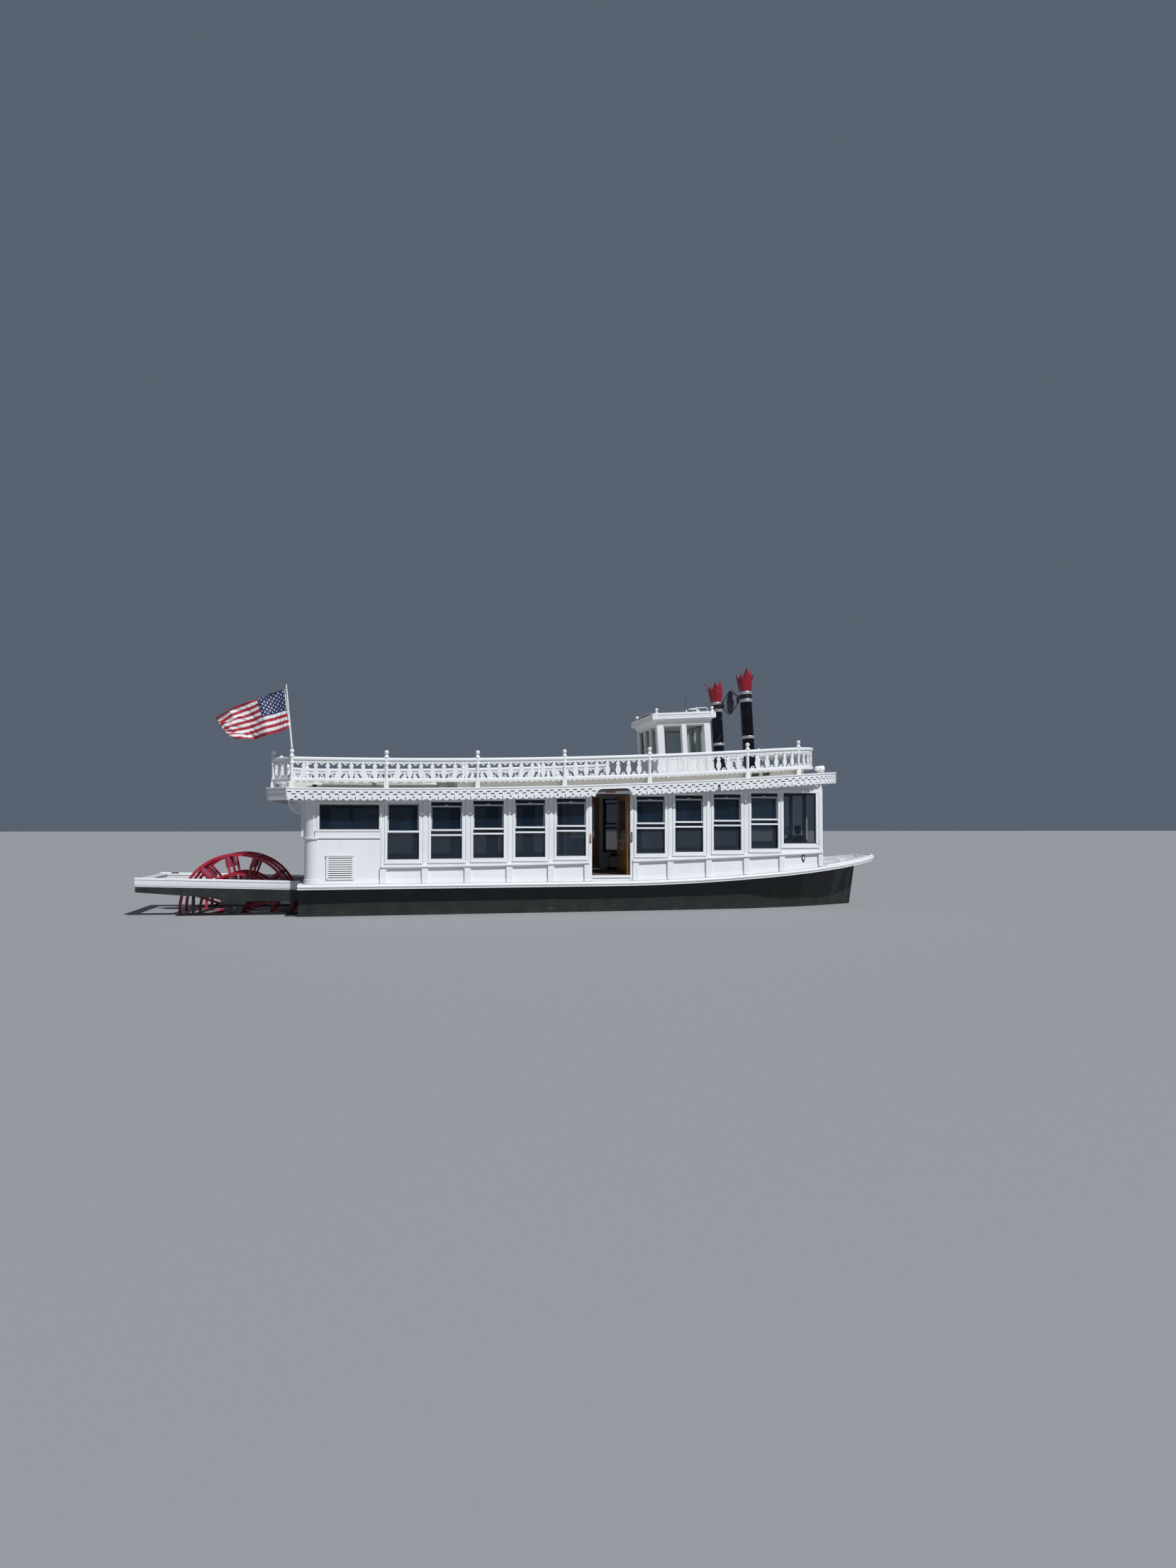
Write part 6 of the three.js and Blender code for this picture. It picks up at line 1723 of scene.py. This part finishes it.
def coaming_work():
    """The coaming's grey field, whose grey is partly painted shade of the inset aft coaming, its cream boards
    and three small dark grilles.
    """
    cream, cast = Shape(), caster("roof_coaming")

    def face(x, share):
        z = float(eave_top(x)) + share * COAMING_HIGH
        y = cast((x, -6, z), (0, 1, 0)).y
        return y, z

    def plate(x0, x1, low, high, out, tone, lean=0.0):
        """A board on the coaming's side; its ends lean in by lean at the top."""
        xs = np.linspace(x0, x1, max(2, int((x1 - x0) / 0.4) + 1))
        rings = []
        for k, x in enumerate(xs):
            top = x + lean * (1 - 2 * k / (len(xs) - 1))
            (y0, z0), (y1, z1) = face(x, low), face(x, high)
            rings.append([(x, y0 + 0.01, z0), (top, y1 + 0.01, z1), (top, y1 - out, z1), (x, y0 - out, z0)])
        cream.loft(rings, tone=tone)

    # The grey field aft: a grey board whose grey stands partly for the shade on the inset coaming
    plate(-5.25, -1.85, 0.02, 0.97, 0.004, 1, lean=0.1)
    for x0, x1 in ((-1.74, 0.35), (0.55, 2.7), (4.6, 6.3)):
        plate(x0, x1, 0.1, 0.26, 0.004, 0)
        plate(x0, x1, 0.72, 0.84, 0.004, 0)
    for x0, x1 in ((5.02, 5.2), (5.3, 5.47), (-5.02, -4.93)):
        plate(x0, x1, 0.3, 0.66, 0.014, 2)
    return cream.mirrored()


LAMP = (7.0, -0.95)
LAMP_FOOT = 0.008
LAMP_HIGH = 0.115
LAMP_HEAD = [(0.0, -0.13), (0.02, -0.128), (0.037, -0.119), (0.052, -0.098), (0.063, -0.066), (0.073, -0.026),
             (0.079, 0.012), (0.083, 0.05), (0.084, 0.066), (0.088, 0.069), (0.088, 0.097), (0.085, 0.101),
             (0.079, 0.1), (0.077, 0.088), (0.0, 0.088)]


def searchlight():
    lamp = Shape()
    x, y = LAMP
    foot = float(eave_top(x)) + LAMP_FOOT
    centre = (x, y, foot + LAMP_HIGH)
    lamp.turned(LAMP_HEAD, centre, 40, aim=(1, 0, 0))
    lens = [(0, 0.083), (0.076, 0.089), (0.072, 0.096), (0.05, 0.103), (0.0, 0.107)]
    lamp.turned(lens, centre, 36, 1, aim=(1, 0, 0))
    lamp.turned([(0, -0.006), (0.085, -0.006), (0.085, 0.006), (0.074, 0.014), (0.04, 0.02), (0.03, 0.03),
                 (0.03, 0.05), (0, 0.052)], (x, y, foot), 36)
    for side in (-1, 1):
        arm = [(x, y, foot + 0.03), (x, y + side * 0.06, foot + 0.032), (x, y + side * 0.092, foot + 0.06),
               (x, y + side * 0.093, foot + LAMP_HIGH + 0.012)]
        lamp.tube(arm, 0.0075, 10)
        lamp.turned([(0, 0), (0.014, 0), (0.014, 0.012), (0.004, 0.016), (0, 0.016)],
                    (x, y + side * 0.088, foot + LAMP_HIGH), 14, 2, aim=(0, side, 0))
    # Cooling ribs over the back of the head
    for k in range(5):
        a = math.pi * (0.2 + 0.15 * k)
        rib = [(0.03 * j, 0.055 + 0.008 * j) for j in range(3)]
        lamp.tube([(x - 0.1 + fore, y - r * math.cos(a), centre[2] + r * math.sin(a))
                   for fore, r in rib], 0.003, 6)
    return lamp


deck_edge().piece("deck_guard", "boat", [WHITE], "white_paint")
foredeck_gear().piece("deck_gear", "boat", [WHITE, STEEL], "white_paint", bevel=0.002)
coaming_work().piece("coaming_boards", "boat", [CREAM, GREY_AND_SHADE_BOARD, DARK_FRAME], "cream_paint", bevel=0.002)
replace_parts(searchlight().piece("searchlight_lamp", "boat", [WHITE, HOUSE_GLASS, STEEL], "white_paint"),
            "searchlight")


# Inside the cabin: benches, cushions, console and engine

BENCHES = (("aft", -3.3, 0.95, 5), ("fwd", 2.25, 4.9, 3))
BENCH_OUT = (-0.51, -0.09)
SEAT_BOARD_Z = 1.165
PAD_HALF = (0.41, 0.195)
PAD_HIGH = 0.08
PAD_PULL = 0.009
PAD_VOXEL = 0.012
PAD_FRAMES = 20
PAD_CAP = 0.014
PAD_PRESSURE = 4
# The power that rounds the pad's corners, and its sewn channels: places, width and depth
PAD_ROUND = 0.26
CHANNELS = (-PAD_HALF[0] / 3, PAD_HALF[0] / 3)
CHANNEL_WIDE = 0.016
CHANNEL_DEEP = 0.011
# Insets and heights of the pad's rings before it is filled
PAD_ROWS = [(0.034, 0.0), (0.012, 0.003), (0.002, 0.014), (0.0, 0.03), (0.001, 0.046), (0.007, 0.06),
            (0.022, 0.069), (0.06, 0.075), (0.11, 0.078), (0.16, 0.079)]


def pad_ring(inset, height):
    """A rounded rectangle whose sides pull in between its corners."""
    turn = full_turn(96)
    c, s = np.cos(turn), np.sin(turn)
    x = np.sign(c) * np.abs(c) ** PAD_ROUND
    y = np.sign(s) * np.abs(s) ** PAD_ROUND
    pull_x, pull_y = PAD_PULL / PAD_HALF[0], PAD_PULL / PAD_HALF[1]
    x, y = x * (1 - pull_x * (1 - y * y) * x * x), y * (1 - pull_y * (1 - x * x) * y * y)
    return np.stack([x * (PAD_HALF[0] - inset), y * (PAD_HALF[1] - inset), np.full_like(x, height)], 1)


def vertex_points(mesh):
    points = np.empty(len(mesh.vertices) * 3)
    mesh.vertices.foreach_get("co", points)
    return points.reshape(-1, 3)


def filled_pad():
    """One seat cushion: a closed cover swollen by a short cloth simulation, each point's move capped."""
    cover = Shape().loft([pad_ring(inset, height) for inset, height in PAD_ROWS])
    pad = cover.piece("pad_cover", "boat", [VINYL], "seat_vinyl")
    grid = pad.modifiers.new("grid", "REMESH")
    grid.mode = "VOXEL"
    grid.voxel_size = PAD_VOXEL
    mesh = bpy.data.meshes.new_from_object(pad.evaluated_get(bpy.context.evaluated_depsgraph_get()))
    pad.modifiers.remove(grid)
    pad.data = mesh
    points = start = vertex_points(mesh)
    fill = pad.modifiers.new("fill", "CLOTH")
    fill.settings.use_pressure = True
    fill.settings.uniform_pressure_force = PAD_PRESSURE
    fill.settings.effector_weights.gravity = 0
    fill.point_cache.frame_end = PAD_FRAMES
    for frame_number in range(1, PAD_FRAMES + 1):
        bpy.context.scene.frame_set(frame_number)
    points = vertex_points(pad.evaluated_get(bpy.context.evaluated_depsgraph_get()).data)
    pad.modifiers.remove(fill)
    bpy.context.scene.frame_set(1)
    move = points - start
    length = np.linalg.norm(move, axis=1, keepdims=True)
    points = start + move * np.minimum(1, PAD_CAP / np.maximum(length, 1e-9))
    points[:, 2] = np.maximum(points[:, 2], 0.0)
    faces = [tuple(p.vertices) for p in mesh.polygons]
    bpy.data.objects.remove(pad)
    # Two sewn channels across the top
    for at in CHANNELS:
        near = np.exp(-((points[:, 0] - at) / CHANNEL_WIDE) ** 2)
        points[:, 2] -= CHANNEL_DEEP * (near * np.clip(points[:, 2] / PAD_HIGH, 0, 1) ** 2)
    return points, faces


def benches():
    wood = Shape()
    for _, x0, x1, count in BENCHES:
        strip(wood, (x0, x1), (-0.46, -0.1), (SILL_Z + 0.002, 0.9), 1)
        strip(wood, (x0, x1), (-0.49, -0.1), (0.9, 1.14))
        strip(wood, (x0 - 0.01, x1 + 0.01), (BENCH_OUT[0] - 0.006, BENCH_OUT[1]), (1.14, SEAT_BOARD_Z))
        bay = (x1 - x0) / count
        for k in range(count):
            a, b = x0 + bay * k + 0.04, x0 + bay * (k + 1) - 0.04
            for x, z in (((a, b), (0.92, 0.95)), ((a, b), (1.09, 1.12)), ((a, a + 0.03), (0.95, 1.09)),
                         ((b - 0.03, b), (0.95, 1.09))):
                strip(wood, x, (-0.498, -0.488), z)
            wood.turned([(0, 0), (0.012, 0), (0.009, 0.014), (0.013, 0.022), (0, 0.026)],
                        ((a + b) / 2, -(wall_half((a + b) / 2) - 0.49), 1.03), 12, 2, aim=(0, 1, 0))
    piece = wood.mirrored().piece("bench_boxes", "boat", [WHITE, DARK_FRAME, BRASS], "white_paint",
                                  bevel=0.002)
    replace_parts(piece, *(f"bench_{side}_{part}" for side in ("starboard", "port") for part, *_ in BENCHES))
    points, faces = filled_pad()
    middle = (BENCH_OUT[0] + BENCH_OUT[1]) / 2
    piping = [pad_ring(0.001, height) for height in (0.02, 0.056)]
    for part, x0, x1, count in BENCHES:
        bay = (x1 - x0) / count
        stretch = (bay / 2 - 0.006) / (PAD_HALF[0] + 0.012)
        for k in range(count):
            for name, side in (("starboard", -1), ("port", 1)):
                centre = x0 + bay * (k + 0.5)

                def lay(u, v, w):
                    x = centre + u * stretch
                    return np.stack([x, side * (wall_half(x) + middle + v), SEAT_BOARD_Z + 0.001 + w], 1)

                pad = Shape().add(lay(*points.T), faces)
                for ring in piping:
                    pad.tube(lay(*np.concatenate([ring, ring[:2]]).T), 0.0045, 8, 1)
                across = np.linspace(-PAD_HALF[1] + 0.03, PAD_HALF[1] - 0.03, 9)
                for at in CHANNELS:
                    pad.tube(lay(np.full(9, at), across, np.full(9, 0.07)), 0.0025, 6, 1)
                cushion = pad.piece(f"seat_pad_{name}_{part}_{k + 1}", "boat", [VINYL, PIPING], "seat_vinyl",
                                    smooth=60)


CONSOLE_X = (6.15, 6.7)
CONSOLE_Y = (-0.9, -0.15)
CONSOLE_TOP = 1.58
HELM_CENTRE = (6.28, -0.52, 1.79)


def helm():
    """The console's hood, instruments, steering wheel, throttle and display."""
    gear = Shape()
    (x0, x1), (y0, y1) = CONSOLE_X, CONSOLE_Y
    gear.box((x0 - 0.004, x1), (y0 - 0.004, y1 + 0.004), (CONSOLE_TOP + 0.0005, CONSOLE_TOP + 0.02))
    # A sloped dashboard with its gauges
    dash_line = ((6.36, 0.02), (6.46, 0.14), (6.66, 0.14), (6.68, 0.02))
    gear.loft([[(x, y, CONSOLE_TOP + up) for x, up in dash_line] for y in (y0 + 0.01, y1 - 0.01)])
    lean = Vector((-0.12, 0, 0.1)).normalized()
    for y in (-0.84, -0.74, -0.3, -0.21):
        spot = (6.41, y, CONSOLE_TOP + 0.08)
        gear.turned([(0, 0), (0.036, 0), (0.036, 0.008), (0.031, 0.01), (0.03, 0.005), (0, 0.005)], spot,
                    24, 1, aim=lean)
        gear.turned([(0, 0.004), (0.029, 0.004), (0.029, 0.006), (0, 0.006)], spot, 24, 2, aim=lean)
    # Display on a bracket, its screen aft
    gear.tube([(6.56, -0.6, CONSOLE_TOP + 0.13), (6.56, -0.6, CONSOLE_TOP + 0.2)], 0.018, 12)
    gear.box((6.54, 6.58), (-0.78, -0.42), (CONSOLE_TOP + 0.16, CONSOLE_TOP + 0.38))
    gear.box((6.536, 6.541), (-0.765, -0.435), (CONSOLE_TOP + 0.175, CONSOLE_TOP + 0.365), 3)
    # Throttle levers
    gear.box((6.24, 6.36), (-0.27, -0.18), (CONSOLE_TOP + 0.02, CONSOLE_TOP + 0.05))
    for y in (-0.245, -0.205):
        gear.tube([(6.3, y, CONSOLE_TOP + 0.05), (6.27, y, CONSOLE_TOP + 0.17)], 0.007, 10, 1)
        gear.turned([(0, -0.018), (0.013, -0.014), (0.018, 0.0), (0.013, 0.014), (0, 0.018)],
                    (6.268, y, CONSOLE_TOP + 0.18), 14)
    # Steering wheel: rim, hub, spokes, grips and its column
    centre, aim = Vector(HELM_CENTRE), Vector((-0.8, 0, 0.6)).normalized()
    across = Vector((0, 1, 0))
    up = aim.cross(across)
    rim = [centre + 0.155 * (math.cos(a) * across + math.sin(a) * up)
           for a in np.linspace(0, 2 * math.pi, 41)]
    gear.tube(rim, 0.011, 10, 4)
    gear.turned([(0, -0.03), (0.03, -0.03), (0.035, 0.0), (0.03, 0.015), (0, 0.022)], centre, 20, 1, aim=aim)
    for k in range(6):
        a = math.pi * k / 3
        aside = math.cos(a) * across + math.sin(a) * up
        gear.tube([centre + 0.02 * aside, centre + 0.2 * aside], 0.008, 10, 4)
        gear.turned([(0, 0.16), (0.008, 0.165), (0.013, 0.19), (0.01, 0.208), (0, 0.212)], centre, 10, 4,
                    aim=aside)
    gear.tube([centre, centre - 0.09 * aim, (6.4, -0.52, CONSOLE_TOP + 0.09)], 0.016, 12)
    return gear


def engine():
    """The lid, grilles, catches and exhaust of the engine's casing."""
    parts = Shape()
    x0, x1, half, top = -4.7, -3.9, 0.45, 1.5
    parts.box((x0 - 0.01, x1 + 0.01), (-half - 0.01, half + 0.01), (top + 0.0005, top + 0.02))
    parts.box((x0 + 0.03, x1 - 0.03), (-half + 0.04, half - 0.04), (top + 0.02, top + 0.032))
    for side in (-1, 1):
        y = span(side, half + 0.0005, half + 0.012)
        for k in range(7):
            parts.box((x0 + 0.12, x0 + 0.38), y, (1.06 + 0.045 * k, 1.075 + 0.045 * k), 1)
        for x in (x0 + 0.52, x1 - 0.1):
            parts.box((x - 0.02, x + 0.02), y, (top - 0.07, top + 0.01), 1)
        parts.box((x0, x1), y, (SILL_Z + 0.02, SILL_Z + 0.06))
    exhaust = [(-4.2, 0.2, top + 0.03), (-4.2, 0.2, top + 0.4), (-4.25, 0.22, top + 0.62),
               (-4.25, 0.22, 2.62)]
    parts.tube(exhaust, 0.05, 20, 1)
    return parts


benches()
helm().piece("helm_gear", "boat", [CONSOLE, STEEL, FLAG_WHITE, DARK_FRAME, VARNISH], "console_black",
             bevel=0.001)
engine().piece("engine_casing_parts", "boat", [ENGINE, BLACK], "engine_metal", bevel=0.002)


# Finishes of the frame's own parts

NODE_FINISHES = (
    (HULL, "hull rudder_starboard rudder_port"),
    (DECK, "main_deck"),
    (WHITE, "cabin_wall_starboard cabin_wall_port cabin_wall_front cabin_wall_aft vent_louvre_starboard "
            "vent_louvre_port wheelhouse_walls wheelhouse_roof flagpole"),
    (GLASS, "glazing_starboard_aft glazing_port_aft"),
    (FORWARD_GLASS, "glazing_starboard_fwd glazing_port_fwd glazing_front"),
    (HOUSE_GLASS, "wheelhouse_glazing"),
    (FLOOR, "cabin_sole helm_platform"),
    (CONSOLE, "helm_console"),
    (GREY_AND_SHADE_BOARD, "bulkhead_aft"),
    (ENGINE, "engine_block"),
    (VARNISH, "door_starboard door_port"),
    (CREAM, "roof roof_coaming"),
    (NAVY, "smokestack_starboard smokestack_port"),
    (CRIMSON, "stack_crown_starboard stack_crown_port"),
    (PLATFORM, "platform_beam_starboard platform_beam_port platform_end_beam"),
    (BLACK, "stack_ornament wheel_beam_starboard wheel_beam_port shaft_bearing_starboard shaft_bearing_port"),
    (WHEEL_RED, "wheel_frame_starboard wheel_frame_middle wheel_frame_port"),
    (STEEL, "wheel_shaft"),
)
# Flat-sided parts whose corners are eased, by width
EASED = (
    (0.003, "cabin_wall_starboard cabin_wall_port cabin_wall_front wheelhouse_walls door_starboard "
            "door_port"),
    (0.004, "wheel_beam_starboard wheel_beam_port"),
    (0.005, "main_deck rudder_starboard rudder_port"),
    (0.006, "platform_beam_starboard platform_beam_port platform_end_beam helm_console"),
    (0.008, "engine_block"),
)
for material, names in NODE_FINISHES:
    for name in names.split():
        slots = NODES[name].data.materials
        slots.clear()
        slots.append(material)
for width, names in EASED:
    for name in names.split():
        ease(NODES[name], width)


# Floor, light and camera

FLOOR_REACH = 400
FLOOR_TONE = (0.37, 0.38, 0.39)
SKY_TONE = (0.62, 0.76, 1.0, 1)
SKY_STRENGTH = 0.16
SUN_TONE = (0.97, 0.975, 1.0)
SUN_STRENGTH = 3.3
SUN_WIDTH = math.radians(1.5)
TO_SUN = (0.45, -0.9, 1.0)
CAMERA_AT = (-3.56, -28.25, 1.95)
CAMERA_PITCH = math.radians(90 + 2.04)
CAMERA_TURN = math.radians(-10)
CAMERA_LENS = 27.0
CAMERA_SENSOR = 36.0
CAMERA_REACH = 2000

floor_mesh = bpy.data.meshes.new("studio_floor")
reach = FLOOR_REACH
floor_mesh.from_pydata([(-reach, -reach, 0), (reach, -reach, 0), (reach, reach, 0), (-reach, reach, 0)], [],
                       [(0, 1, 2, 3)])
floor_mesh.materials.append(Finish("studio_floor", FLOOR_TONE, 0.85).material)
floor = bpy.data.objects.new("studio_floor", floor_mesh)
bpy.context.scene.collection.objects.link(floor)

world = bpy.data.worlds.new("studio")
world.use_nodes = True
world.node_tree.nodes["Background"].inputs[0].default_value = SKY_TONE
world.node_tree.nodes["Background"].inputs[1].default_value = SKY_STRENGTH
bpy.context.scene.world = world
bpy.context.scene.view_settings.view_transform = "Standard"

sun = bpy.data.lights.new("sun", "SUN")
sun.energy = SUN_STRENGTH
sun.angle = SUN_WIDTH
sun.color = SUN_TONE
sun_holder = bpy.data.objects.new("sun", sun)
sun_holder.rotation_euler = Vector(TO_SUN).to_track_quat("Z", "Y").to_euler()
bpy.context.scene.collection.objects.link(sun_holder)

camera = bpy.data.cameras.new("camera")
camera.lens = CAMERA_LENS
camera.sensor_width = CAMERA_SENSOR
camera.clip_end = CAMERA_REACH
holder = bpy.data.objects.new("camera", camera)
holder.location = CAMERA_AT
holder.rotation_euler = (CAMERA_PITCH, 0, CAMERA_TURN)
bpy.context.scene.collection.objects.link(holder)
bpy.context.scene.camera = holder
